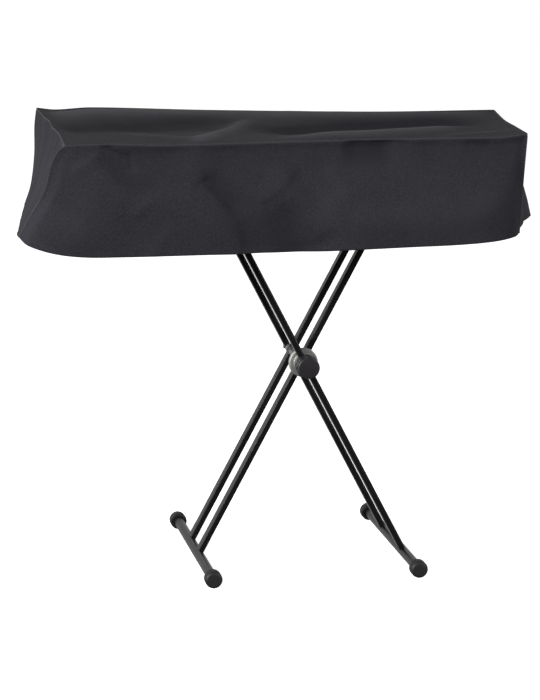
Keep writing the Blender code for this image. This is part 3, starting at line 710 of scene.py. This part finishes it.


# ---------------------------------------------------------------- coated cloth
# The cloth is a plain-woven polyester with a thin coating on its back. It is dull and nearly black
# with a cool cast, and its weave shows as a fine grain. Its colour has a painted highlight where it
# stands up and painted shade in its hollows.

THREAD = 3.0 * MM  # the real threads are 0.5 mm apart, and are drawn this coarse so that they show
THREAD_DEPTH = 0.30 * MM
WAVE_PERIOD = math.tau / 20  # of a wave texture at scale 1
SLUB = 4.0 * MM  # length of an uneven stretch of thread, as coarse as the threads
SLUB_STARTS, SLUB_FULL, SLUB_SHARE = 0.35, 0.75, 0.55
CLOTH_CLOUD = 90 * MM
CLOTH_DARK, CLOTH_PALE, SLUB_PALE = "#242328", "#2e2d32", "#3b3a3f"
# painted shade for the hollows and under the seams, and a painted highlight for ridges and seams
CLOTH_PAINTED_SHADE, CREASE_PAINTED_HIGHLIGHT = "#212025", "#444347"
FLAT_PAINTED_LIGHT = 0.35  # of cloth that lies flat: creases that stand up get more painted highlight and hollows painted shade
CLOTH_ROUGHNESS = (0.46, 0.58)
HOLLOW_DULLER, RIDGE_DULLER = 0.20, -0.04  # added to the roughness


def coated_cloth():
    # Plain weave, calendered flat and coated: dull, with a fine even grain and a little cloudiness.
    # The ridges and seams get a painted highlight and the hollows painted shade; the ridges are also
    # smoother and the hollows duller.
    material, tree, shader, place = new_material(
        "coated_woven_polyester", CLOTH_DARK, 0.56, specular=0.06
    )
    flat = add_node(tree, "UVMap", {"uv_map": "flat_cut"})
    wave = {"Scale": WAVE_PERIOD / THREAD, "Distortion": 0.6, "Detail": 1.0}
    warp, weft = (
        add_node(tree, "TexWave", {"bands_direction": way, **wave}, {"Vector": flat}, output="Fac")
        for way in ("X", "Y")
    )
    weave = add_node(tree, "Math", {"operation": "MULTIPLY"}, {0: warp, 1: weft})
    slub = add_node(tree, "TexNoise", {"Scale": 1 / SLUB, "Detail": 3.0}, {"Vector": place})
    grain = add_node(tree, "Math", {"operation": "ADD"}, {0: weave, 1: slub})
    woven = add_node(tree, "Bump", {"Distance": THREAD_DEPTH}, {"Height": grain})
    tree.links.new(woven, shader.inputs["Normal"])

    cloud = add_node(tree, "TexNoise", {"Scale": 1 / CLOTH_CLOUD, "Detail": 4.0}, {"Vector": place})
    shades = {"data_type": "RGBA", "A": linear(CLOTH_DARK), "B": linear(CLOTH_PALE)}
    clouded = add_node(tree, "Mix", shades, {"Factor": cloud})
    thick = {"From Min": SLUB_STARTS, "From Max": SLUB_FULL, "To Max": SLUB_SHARE}
    slubs = add_node(tree, "MapRange", thick, {"Value": slub})
    flecks = {"data_type": "RGBA", "B": linear(SLUB_PALE)}
    flecked = add_node(tree, "Mix", flecks, {"Factor": slubs, "A": clouded})
    # Painted light: the crease mask paints shade in hollows and under the seams, and a highlight on
    # ridges and seams. It also sets the roughness below.
    painted_light = add_node(tree, "Attribute", {"attribute_name": "crease_wear"}, output="Fac")
    handling_and_shade_share = add_node(tree, "MapRange", {"From Max": FLAT_PAINTED_LIGHT}, {"Value": painted_light})
    painted_shade_colour = {"data_type": "RGBA", "A": linear(CLOTH_PAINTED_SHADE)}
    shaded_cloth = add_node(tree, "Mix", painted_shade_colour, {"Factor": handling_and_shade_share, "B": flecked})
    highlight_share = add_node(tree, "MapRange", {"From Min": FLAT_PAINTED_LIGHT}, {"Value": painted_light})
    painted_highlight_colour = {"data_type": "RGBA", "B": linear(CREASE_PAINTED_HIGHLIGHT)}
    highlighted_cloth = add_node(tree, "Mix", painted_highlight_colour, {"Factor": highlight_share, "A": shaded_cloth})
    tree.links.new(highlighted_cloth, shader.inputs["Base Color"])

    smooth, rough = CLOTH_ROUGHNESS
    dull = add_node(tree, "MapRange", {"To Min": smooth, "To Max": rough}, {"Value": cloud})
    by_crease_light = {"To Min": HOLLOW_DULLER, "To Max": RIDGE_DULLER}
    polish = add_node(tree, "MapRange", by_crease_light, {"Value": painted_light})
    sheen = add_node(tree, "Math", {"operation": "ADD"}, {0: dull, 1: polish})
    tree.links.new(sheen, shader.inputs["Roughness"])
    return material



# ---------------------------------------------------------------- creases of the cover
# The cloth was folded in storage and pulled over hard bars, so it keeps creases that start under the
# seams and soft waves between them. Each crease is a line with a steep side and a gentle one.

# A crease is a ridge (height above 0) or a trough, in mm from the middle of the stand. Its path is
# across (x on the long skirts, y on the ends) and down from the top, and on the top it is in plan.
# Lower and upper are its widths on the sides below and above a path that runs to the right, or to the
# left and right of one that runs down. On the top, lower is the side of larger y. A steep side is a
# narrow one, and a crease runs out at both ends of its path.
Crease = namedtuple("Crease", "path lower upper height")
CREASES = {
    "front": (
        # the long crease: a small hook, a steep side down to the hem, and the hollow beside it
        Crease(((-270, 80), (-294, 91), (-324, 104)), 8, 9, -2.4),
        Crease(((-298, 72), (-272, 92), (-231, 132), (-200, 180), (-172, 300)), 16, 34, -5.2),
        Crease(((-310, 64), (-274, 94), (-238, 128), (-205, 175)), 12, 24, -3.6),
        Crease(((-130, 130), (-92, 190), (-65, 340)), 70, 45, -8.5),
        # the tent in the middle
        Crease(((-58, 58), (-94, 92), (-135, 125), (-180, 140)), 32, 10, 4),
        Crease(((-90, 56), (-56, 98), (-30, 132), (0, 180)), 22, 12, -2.8),
        Crease(((0, 45), (34, 94), (68, 150)), 16, 14, 2.4),
        # dents under the seam: steep above, gentle below
        Crease(((35, 18), (75, 27), (105, 30), (135, 26), (180, 16)), 32, 25, -8.5),
        Crease(((150, 10), (215, 14)), 18, 8, -2.6),
        Crease(((340, 16), (425, 30)), 20, 10, -3),
        # crumple near the wide end
        Crease(((-610, 60), (-572, 42), (-525, 12)), 16, 9, 2.6),
        Crease(((-540, 0), (-500, 18), (-455, 44)), 5, 10, -3),
        Crease(((-550, 0), (-500, 50), (-445, 100), (-380, 118)), 24, 18, -4.6),
        Crease(((-470, 12), (-462, 40), (-460, 64)), 5, 7, -1.8),
        Crease(((-470, 172), (-436, 144), (-400, 118)), 11, 14, 2.2),
        Crease(((-425, 276), (-392, 222), (-352, 175)), 14, 16, 1.5),
        Crease(((-90, 264), (-20, 242), (50, 212)), 18, 20, -3.4),
        Crease(((-10, 95), (12, 180), (36, 310)), 50, 60, 3.4),
        # the lower right corner sinks under a soft edge
        Crease(((40, 192), (230, 205), (380, 192), (470, 130), (505, 30)), 45, 70, 3),
        # beside the wide end the cloth turns out towards its corner seam
        Crease(((-552, 10), (-578, 110), (-620, 250)), 60, 70, 6),
    ),
    "left": (
        # soft pleats that fall from the wide end's seam
        Crease(((325, -20), (290, 70), (250, 200)), 10, 14, -3.9),
        Crease(((220, -20), (180, 90), (130, 220)), 18, 14, 4.5),
        Crease(((115, -20), (80, 80), (50, 170)), 10, 14, -4.2),
        Crease(((-10, -20), (20, 70), (80, 160)), 16, 12, 5.1),
        Crease(((-100, -20), (-120, 90), (-170, 210)), 12, 16, -4.2),
        Crease(((-190, -20), (-225, 100), (-260, 210)), 16, 12, 4.5),
        Crease(((-285, -20), (-300, 60), (-315, 130)), 9, 12, -3.3),
    ),
    "right": (
        # the narrow end and the back, which carry the same kind of folds
        Crease(((-135, 0), (-110, 120), (-50, 270)), 14, 20, -3.6),
        Crease(((65, -10), (90, 110), (140, 280)), 20, 14, 3.6),
        Crease(((178, 0), (190, 110)), 12, 16, -2.8),
    ),
    "back": (
        Crease(((390, 45), (320, 120), (280, 300)), 12, 34, -5),
        Crease(((110, 20), (60, 90), (70, 190)), 24, 12, -3.6),
        Crease(((-165, 50), (-120, 140), (-150, 300)), 14, 30, -4.4),
        Crease(((-385, 0), (-340, 90), (-380, 230)), 26, 14, 3.4),
    ),
    "top": (
        # the back edge rolls off behind a long low ridge
        Crease(((-900, 280), (-400, 292), (-100, 278), (250, 262), (700, 215)), 60, 85, 8.5),
        # a long hollow in front of it that swings back towards the middle
        Crease(
            ((-900, -20), (-520, 0), (-384, 40), (-280, 90), (-190, 160), (-80, 290)), 85, 110, -6.4
        ),
        # folds across the middle
        Crease(((-480, -110), (-345, -205), (-210, -290)), 24, 26, 3.6),
        Crease(((-360, -460), (-225, -170), (-150, 0), (-60, 230)), 30, 30, 6.2),
        Crease(((-150, -100), (20, -30), (180, 40), (520, 110)), 90, 95, -12.5),
        # the front edge rises to a ridge that runs back to the narrow end
        Crease(((-140, -290), (120, -205), (300, -115), (460, 50)), 55, 36, 9.2),
        Crease(((300, -232), (410, -185), (520, -130)), 16, 18, 4),
    ),
}
CREASE_CELL = 20  # width of the squares by which creases are looked up, in mm
CREASE_RUN_OUT = 0.28  # share of its length over which a crease swells at each end
CREASE_REACH = 2.6  # widths from its path at which a crease has died away
WAVES = ((0.150, 0.0016), (0.055, 0.0005), (0.020, 0.00016))  # size and height of the unevenness, in m


def stretches(crease):
    """The straight stretches of a crease, each with where it starts and ends as shares of the whole."""
    ends = list(zip(crease.path, crease.path[1:]))
    lengths = [math.dist(*pair) for pair in ends]
    starts = [sum(lengths[:number]) / sum(lengths) for number in range(len(ends) + 1)]
    return [(a, b, *shares) for (a, b), *shares in zip(ends, starts, starts[1:])]


@lru_cache(maxsize=None)
def creases_near(panel, across, down):
    """The creases that can reach into this square, each with its stretches."""
    near = []
    for crease in CREASES[panel]:
        reach = CREASE_REACH * max(crease.lower, crease.upper) + CREASE_CELL
        xs, ys = zip(*crease.path)
        inside_x = min(xs) - reach <= across <= max(xs) + reach
        if inside_x and min(ys) - reach <= down <= max(ys) + reach:
            near.append((crease, stretches(crease)))
    return near


def crease_bump(x, y, crease, parts):
    """How far this crease moves the cloth at a place: steep on its narrow side, gentle on the other."""
    best, push = math.inf, 0.0
    for (ax, ay), (bx, by), start, end in parts:
        dx, dy = bx - ax, by - ay
        share = min(max(((x - ax) * dx + (y - ay) * dy) / (dx * dx + dy * dy), 0.0), 1.0)
        off_x, off_y = x - ax - dx * share, y - ay - dy * share
        distance = math.hypot(off_x, off_y)
        if distance < best:
            width = crease.lower if dx * off_y - dy * off_x > 0 else crease.upper
            along = mix(start, end, share)
            swell = smooth_step(along / CREASE_RUN_OUT) * smooth_step((1 - along) / CREASE_RUN_OUT)
            best, push = distance, swell * math.exp(-((distance / width) ** 2))
    return crease.height * push


def creased(panel, x, y):
    """What all creases of a panel together do at a place, in metres."""
    x, y = x / MM, y / MM
    square = (round(x / CREASE_CELL) * CREASE_CELL, round(y / CREASE_CELL) * CREASE_CELL)
    return MM * sum(crease_bump(x, y, *near) for near in creases_near(panel, *square))


def uneven(place, seed):
    """Soft waves that all cloth has, made of three sizes of noise."""
    return sum(
        height * noise.noise(Vector((place.x / size, place.y / size, seed))) for size, height in WAVES
    )


# ---------------------------------------------------------------- panels and their turned seams
# The panels are sewn right sides together and turned, so every seam stands up as a narrow ridge and
# the skirt tucks in just under it. The hem is folded twice and stitched 14 mm above its edge.

CLOTH_THICKNESS = 0.8 * MM
EDGE_CROWD = 0.62  # how much closer the rows lie at seams and hems than in the middle
SEAM_LIP = 1.5 * MM
SEAM_LIP_OUT = 0.6  # share of the lip's height that it also leans outward
SEAM_LIP_WIDTH = 2.4 * MM
SEAM_LIP_TURN = 6  # of its widths from a corner, where it leans outward in full
CORNER_LIP = 1.2 * MM
CORNER_LIP_START = 8 * MM  # below the top
CORNER_HOLD = 12 * MM  # this near a corner seam the cloth is held to its drape
CREASE_START = 6 * MM  # below the seam, where a crease is there in full
SKIRT_PAINTED_LIGHT, TOP_PAINTED_LIGHT = 20, 60  # painted highlight for each metre that a crease stands up, and painted shade for each metre it sinks
# painted highlight along the ridge of a seam
SEAM_PAINTED_HIGHLIGHT = 0.6
TUCK = 8.0 * MM
TUCK_DEPTH = 12 * MM  # below the seam, where most of it is reached
TUCK_REACH = 70 * MM  # and where it has come out again
TUCK_STARTS = 0.10  # in metres from the wide end, on the front
TUCK_ELSEWHERE = 0.5  # share of it on the other skirts
TUCK_MEAN, TUCK_SWING = 0.75, 0.5  # of its unevenness along the seam
TUCK_WANDER = 70 * MM  # over which that changes
HEM_WIDTH = 14 * MM
HEM_STEP = 0.15 * MM
HEM_GROOVE = 0.22 * MM
HEM_GROOVE_WIDTH = 1.3 * MM
HEM_ROLL = 1.0 * MM
HEM_SLACK = 4.0 * MM  # the front hangs this much lower in its middle
SKIRT_SEED, TOP_SEED = 10.0, 50.0
PANEL_GRIDS = {"front": (300, 90), "back": (300, 90), "left": (170, 90), "right": (130, 90)}
TOP_GRID = (290, 110)


def crowded(share):
    """The same share from 0 to 1, with its steps closer together near both ends."""
    return share - EDGE_CROWD * math.sin(math.tau * share) / math.tau


def beside_seam(distance):
    """1 on the ridge of a turned seam, dying away over its width."""
    return math.exp(-((distance / SEAM_LIP_WIDTH) ** 2))


def corner_outward(name):
    """The way that the ridge of a corner seam points."""
    ways = (outward_of(panel) for panel, ends in PANEL_ENDS.items() if name in ends)
    return sum(ways, Vector()).normalized()


def seam_lip(outward, from_seam, from_corner):
    """The turned seam between the top and a skirt, as a shift of both."""
    lean = SEAM_LIP_OUT * smooth_step(from_corner / (SEAM_LIP_TURN * SEAM_LIP_WIDTH))
    return (UP + outward * lean) * (SEAM_LIP * beside_seam(from_seam))


def hem_profile(above_hem):
    """The folded hem stands out, its stitches draw in, and its edge rolls under."""
    step = HEM_STEP * smooth_step((HEM_WIDTH - above_hem) / (2 * HEM_GROOVE_WIDTH))
    groove = HEM_GROOVE * math.exp(-(((above_hem - HEM_WIDTH) / HEM_GROOVE_WIDTH) ** 2))
    roll = HEM_ROLL * math.exp(-((above_hem / HEM_GROOVE_WIDTH) ** 2))
    return step - groove - roll


def tuck_in(panel, along, down):
    """The skirt draws in just below the seam's ridge."""
    start = TUCK_ELSEWHERE
    if panel == "front":
        start = smooth_step((along - TUCK_STARTS) / TUCK_STARTS)
    changes = TUCK_MEAN + TUCK_SWING * noise.noise(Vector((along / TUCK_WANDER, 0.0, 3.0)))
    inward = 1 - math.exp(-((down / TUCK_DEPTH) ** 2))
    return TUCK * start * changes * inward * math.exp(-((down / TUCK_REACH) ** 2))


def skirt_cloth(panel, along_share, down_share):
    """(point, painted light, flat place) of a skirt: its drape, with creases, seams and hem."""
    hem = hem_at(panel, along_share)
    along, down = along_share * length_of(panel), down_share * hem.drop
    corners_away = (along, length_of(panel) - along)
    from_corner = min(corners_away)
    draped = skirt_point(panel, along_share, down_share)
    across = draped.x if panel in ("front", "back") else draped.y
    crease = creased(panel, across, TOP_HEIGHT - draped.z)
    waves = uneven(Vector((along, down)), SKIRT_SEED * list(PANEL_ENDS).index(panel))

    below_seam = smooth_step(down / SKIRT_FADE)
    at_seam = (1 - below_seam) * smooth_step(down / CREASE_START)
    soft = crease * (below_seam + at_seam) + waves * below_seam
    tuck = tuck_in(panel, along, down)
    push = soft * smooth_step(from_corner / SKIRT_FADE) + hem_profile(hem.drop - down) - tuck
    point = draped + outward_of(panel) * (push * smooth_step(from_corner / CORNER_HOLD))
    point += seam_lip(outward_of(panel), down, from_corner)
    if panel == "front":
        point.z -= HEM_SLACK * math.sin(math.pi * along_share) * down_share
    for name, distance in zip(PANEL_ENDS[panel], corners_away):
        lip = CORNER_LIP * beside_seam(distance) * smooth_step(down / CORNER_LIP_START)
        point += corner_outward(name) * lip

    # Painted highlight on seam ridges and on creases that stand up, painted shade in hollows and under
    # the tuck.
    ridge = max(beside_seam(down), beside_seam(from_corner))
    painted_light = FLAT_PAINTED_LIGHT + SEAM_PAINTED_HIGHLIGHT * ridge + SKIRT_PAINTED_LIGHT * (crease - tuck)
    return point + STAND_MIDDLE, min(max(painted_light, 0.0), 1.0), (along, down)


def top_cloth(along_share, back_share):
    """(point, painted light, flat place) of the top panel."""
    point = top_point(along_share, back_share)
    place = point.to_2d()
    shares = {"front": along_share, "right": back_share}
    shares |= {"back": 1 - along_share, "left": 1 - back_share}
    sides = sorted(
        ((place - seam_point(side, share).to_2d()).length, side) for side, share in shares.items()
    )
    (from_seam, nearest), (from_other, _) = sides[:2]
    fade = smooth_step(from_seam / TOP_FADE)
    crease = creased("top", place.x, place.y)
    point.z += (crease + uneven(place, TOP_SEED)) * fade
    point += seam_lip(outward_of(nearest), from_seam, from_other)
    # Painted highlight on the seams and on folds that stand up, painted shade in the hollows.
    painted_light = FLAT_PAINTED_LIGHT + SEAM_PAINTED_HIGHLIGHT * beside_seam(from_seam) + TOP_PAINTED_LIGHT * crease * fade
    return point + STAND_MIDDLE, min(max(painted_light, 0.0), 1.0), tuple(place)


def sewn_panel(
    name, grid, cloth_at, outward, material, node, with_pieces=()
):
    """One panel as a thin sheet on the outer face of its solid."""
    bm = bmesh.new()
    # Each vertex carries its share of painted shade and painted highlight.
    painted_light_layer = bm.verts.layers.float.new("crease_wear")
    made = bmesh.ops.create_grid(bm, x_segments=grid[0], y_segments=grid[1], size=0.5)["verts"]
    flat_places = {}
    for vert in made:
        shares = crowded(vert.co.x + 0.5), crowded(vert.co.y + 0.5)
        vert.co, vert[painted_light_layer], flat_places[vert] = cloth_at(*shares)
    flat_cut = bm.loops.layers.uv.new("flat_cut")
    for face in bm.faces:
        for loop in face.loops:
            loop[flat_cut].uv = flat_places[loop.vert]
    bm.normal_update()
    if sum((face.normal for face in bm.faces), Vector()).dot(outward) < 0:
        bmesh.ops.reverse_faces(bm, faces=bm.faces)
    piece = add_piece(name, bm, material, [node], sharp=75)
    thick = piece.modifiers.new("cloth_thickness", "SOLIDIFY")
    thick.thickness = CLOTH_THICKNESS
    thick.offset = -1.0


cloth = coated_cloth()
sewn_panel(
    "top_panel", TOP_GRID, top_cloth, UP, cloth, "cover_top",
)

# ---------------------------------------------------------------- hem stitching
# One row of black lockstitch in bonded polyester thread holds the hem. Each stitch is a short,
# rounded float that sinks at both ends.

STITCH = 3.4 * MM
STITCH_PITCH = 4.6 * MM
THREAD_WIDTH = 0.75 * MM
THREAD_PLY = 12 * MM
STITCH_SIZE = (STITCH / 2, THREAD_WIDTH / 2, THREAD_WIDTH / 3)
STITCH_STANDS = 0.6  # share of its half thickness that its middle stands above the cloth
PLY_DEPTH = 0.1 * MM


def bonded_thread():
    # Filaments bonded and twisted: a slightly glossy thread, light and dark by turns.
    material, tree, shader, place = new_material(
        "bonded_polyester_thread", "#27262a", 0.55, specular=0.3
    )
    ply = {"Scale": 1 / THREAD_PLY, "Distortion": 1.0}
    twist = add_node(tree, "TexWave", ply, {"Vector": place}, output="Fac")
    plies = {"data_type": "RGBA", "A": linear("#201f23"), "B": linear("#2e2d31")}
    tree.links.new(add_node(tree, "Mix", plies, {"Factor": twist}), shader.inputs["Base Color"])
    twisted = add_node(tree, "Bump", {"Distance": PLY_DEPTH}, {"Height": twist})
    tree.links.new(twisted, shader.inputs["Normal"])
    return material


def hem_stitches(panel, material):
    """The row of stitches along the hem of a skirt."""
    count = int(length_of(panel) / STITCH_PITCH)
    bm = bmesh.new()
    for number in range(count):
        share = (number + 0.5) / count
        down = 1 - HEM_WIDTH / hem_at(panel, share).drop
        here = skirt_cloth(panel, share, down)[0]
        ahead = (skirt_cloth(panel, share + 0.2 / count, down)[0] - here).normalized()
        above = (skirt_cloth(panel, share, down - 0.01)[0] - here).normalized()
        out = ahead.cross(above)
        out *= 1 if out.dot(outward_of(panel)) > 0 else -1
        turn = Matrix((ahead, out.cross(ahead), out)).transposed().to_4x4()
        lifted = Matrix.Translation(here + out * STITCH_SIZE[2] * STITCH_STANDS)
        place = lifted @ turn @ Matrix.Diagonal((*STITCH_SIZE, 1.0))
        bmesh.ops.create_uvsphere(bm, u_segments=6, v_segments=4, radius=1.0, matrix=place)
    bmesh.ops.recalc_face_normals(bm, faces=bm.faces)
    return add_piece(f"hem_stitching_{panel}", bm, material, sharp=80)


thread = bonded_thread()
# Flat sizes are what each panel measures on its solid, the slant of the wide end's skirt included.
SKIRT_CUTS = {
    "front": ("front_skirt", "cover_front", (1.26, 0.258)),
    "back": ("back_skirt", "cover_back", (1.26, 0.260)),
    "left": ("wide_end_skirt", "cover_end_left", (0.80, 0.255)),
    "right": ("narrow_end_skirt", "cover_end_right", (0.53, 0.260)),
}
for skirt, (piece_name, cad_node, cut) in SKIRT_CUTS.items():
    sewn_panel(
        piece_name, PANEL_GRIDS[skirt], lambda a, d, skirt=skirt: skirt_cloth(skirt, a, d),
        outward_of(skirt), cloth, cad_node,
        with_pieces=[hem_stitches(skirt, thread)],
    )

# ---------------------------------------------------------------- studio
# A plain pale floor and a white room. A large softbox hangs far to the left, with weak ones beside the
# wide end, to the right and overhead. The camera stands about 6.8 m away with a long lens.

FLOOR_HALF = 14.0
FLOOR_DROP = 0.5 * MM  # keeps it clear of the boots
DUST_PATCH = 0.4
CAMERA_PLACE = Vector((-1.30732, -6.63192, 1.84306))  # from the middle of the stand
CAMERA_TURN, CAMERA_RISE, CAMERA_ROLL = (math.radians(a) for a in (-10.594, 11.108, 0.5585))
LENS = 142.5  # mm, on a sensor 36 mm wide
Softbox = namedtuple("Softbox", "name place aim width height watts")
SOFTBOXES = (
    Softbox("key_left", (-8.8, -6.2, 4.7), (0.0, 0.0, 0.9), 2.6, 2.6, 1580),
    Softbox("side_left", (-5.0, 0.7, 1.9), (0.0, 0.0, 0.9), 1.4, 1.4, 95),
    Softbox("fill_right", (4.5, -3.8, 2.1), (0.1, 0.0, 0.8), 1.8, 1.8, 190),
    Softbox("overhead", (-0.3, 1.6, 3.8), (0.0, 0.0, 0.8), 2.4, 1.4, 9),
)
ROOM_DARK, ROOM_BRIGHT = 0.03, 0.22  # of the walls away from and towards the lamps
ROOM_BRIGHT_SIDE = (-0.55, -0.78, 0.30)
BACKDROP_DARK, BACKDROP_BRIGHT = 0.03, 0.50  # of the white backdrop behind, as gloss shows it
BACKDROP_SIDE = (0.18, 0.98, 0.05)
FLOOR_GLOW = 0.85  # the floor is lit from its edges until it is nearly white


def pale_floor():
    # Rolled paper, lit until it is nearly white and too even to show where it ends.
    material, tree, shader, place = new_material("pale_studio_floor", "#f3f3f2", 0.7, specular=0.2)
    dust = add_node(tree, "TexNoise", {"Scale": 1 / DUST_PATCH}, {"Vector": place})
    pale = {"data_type": "RGBA", "A": linear("#f1f1f0"), "B": linear("#f6f6f5")}
    tree.links.new(add_node(tree, "Mix", pale, {"Factor": dust}), shader.inputs["Base Color"])
    shader.inputs["Emission Color"].default_value = linear("#ffffff")
    shader.inputs["Emission Strength"].default_value = FLOOR_GLOW
    bm = bmesh.new()
    bmesh.ops.create_grid(bm, x_segments=8, y_segments=8, size=FLOOR_HALF)
    bmesh.ops.translate(bm, verts=bm.verts, vec=(0, 0, -FLOOR_DROP))
    mesh = bpy.data.meshes.new("floor")
    bm.to_mesh(mesh)
    bm.free()
    mesh.materials.append(material)
    floor = bpy.data.objects.new("floor", mesh)
    bpy.context.scene.collection.objects.link(floor)
    floor.visible_diffuse = False
    floor.visible_glossy = False


def hang_softbox(box):
    """An area lamp, which the camera doesn't see."""
    light = bpy.data.lights.new(box.name, "AREA")
    light.shape = "RECTANGLE"
    light.size, light.size_y, light.energy = box.width, box.height, box.watts
    lamp = bpy.data.objects.new(box.name, light)
    bpy.context.scene.collection.objects.link(lamp)
    lamp.location = box.place
    lamp.rotation_euler = (Vector(box.aim) - Vector(box.place)).to_track_quat("-Z", "Y").to_euler()
    lamp.visible_camera = False


def white_room():
    """The room is white to look at and dimmer as a light, as walls some way behind the lamps are."""
    world = bpy.data.worlds.new("white_room")
    bpy.context.scene.world = world
    world.use_nodes = True
    tree = world.node_tree
    walls = tree.nodes["Background"]
    walls.inputs["Color"].default_value = (1.0, 1.0, 1.0, 1.0)
    towards = add_node(tree, "TexCoord", output="Generated")
    side = {"operation": "DOT_PRODUCT", 1: ROOM_BRIGHT_SIDE}
    facing = add_node(tree, "VectorMath", side, {0: towards})
    levels = {"From Min": -1.0, "To Min": ROOM_DARK, "To Max": ROOM_BRIGHT}
    tree.links.new(add_node(tree, "MapRange", levels, {"Value": facing}), walls.inputs["Strength"])
    white = {"Color": (1.0, 1.0, 1.0, 1.0)}
    seen = add_node(tree, "Background", {**white, "Strength": 1.0})
    side = {"operation": "DOT_PRODUCT", 1: BACKDROP_SIDE}
    behind = add_node(tree, "VectorMath", side, {0: towards})
    levels = {"To Min": BACKDROP_DARK, "To Max": BACKDROP_BRIGHT}
    bright = add_node(tree, "MapRange", levels, {"Value": behind})
    mirrored = add_node(tree, "Background", white, {"Strength": bright})
    from_gloss = add_node(tree, "LightPath", output="Is Glossy Ray")
    lit = add_node(tree, "MixShader", {}, {0: from_gloss, 1: walls.outputs[0], 2: mirrored})
    from_camera = add_node(tree, "LightPath", output="Is Camera Ray")
    either = add_node(tree, "MixShader", {}, {0: from_camera, 1: lit, 2: seen})
    tree.links.new(either, tree.nodes["World Output"].inputs["Surface"])


def stand_camera():
    """To the left of the middle and above the cover, rolled a very little."""
    back = Vector((
        math.sin(CAMERA_TURN) * math.cos(CAMERA_RISE),
        -math.cos(CAMERA_TURN) * math.cos(CAMERA_RISE),
        math.sin(CAMERA_RISE),
    ))
    level = Vector((math.cos(CAMERA_TURN), math.sin(CAMERA_TURN), 0))
    right = level * math.cos(CAMERA_ROLL) + back.cross(level) * math.sin(CAMERA_ROLL)
    data = bpy.data.cameras.new("camera")
    data.lens = LENS
    camera = bpy.data.objects.new("camera", data)
    bpy.context.scene.collection.objects.link(camera)
    camera.matrix_world = Matrix((right, back.cross(right), back)).transposed().to_4x4()
    camera.matrix_world.translation = CAMERA_PLACE + STAND_MIDDLE
    bpy.context.scene.camera = camera


pale_floor()
for softbox in SOFTBOXES:
    hang_softbox(softbox)
white_room()
stand_camera()
bpy.context.scene.view_settings.view_transform = "Standard"
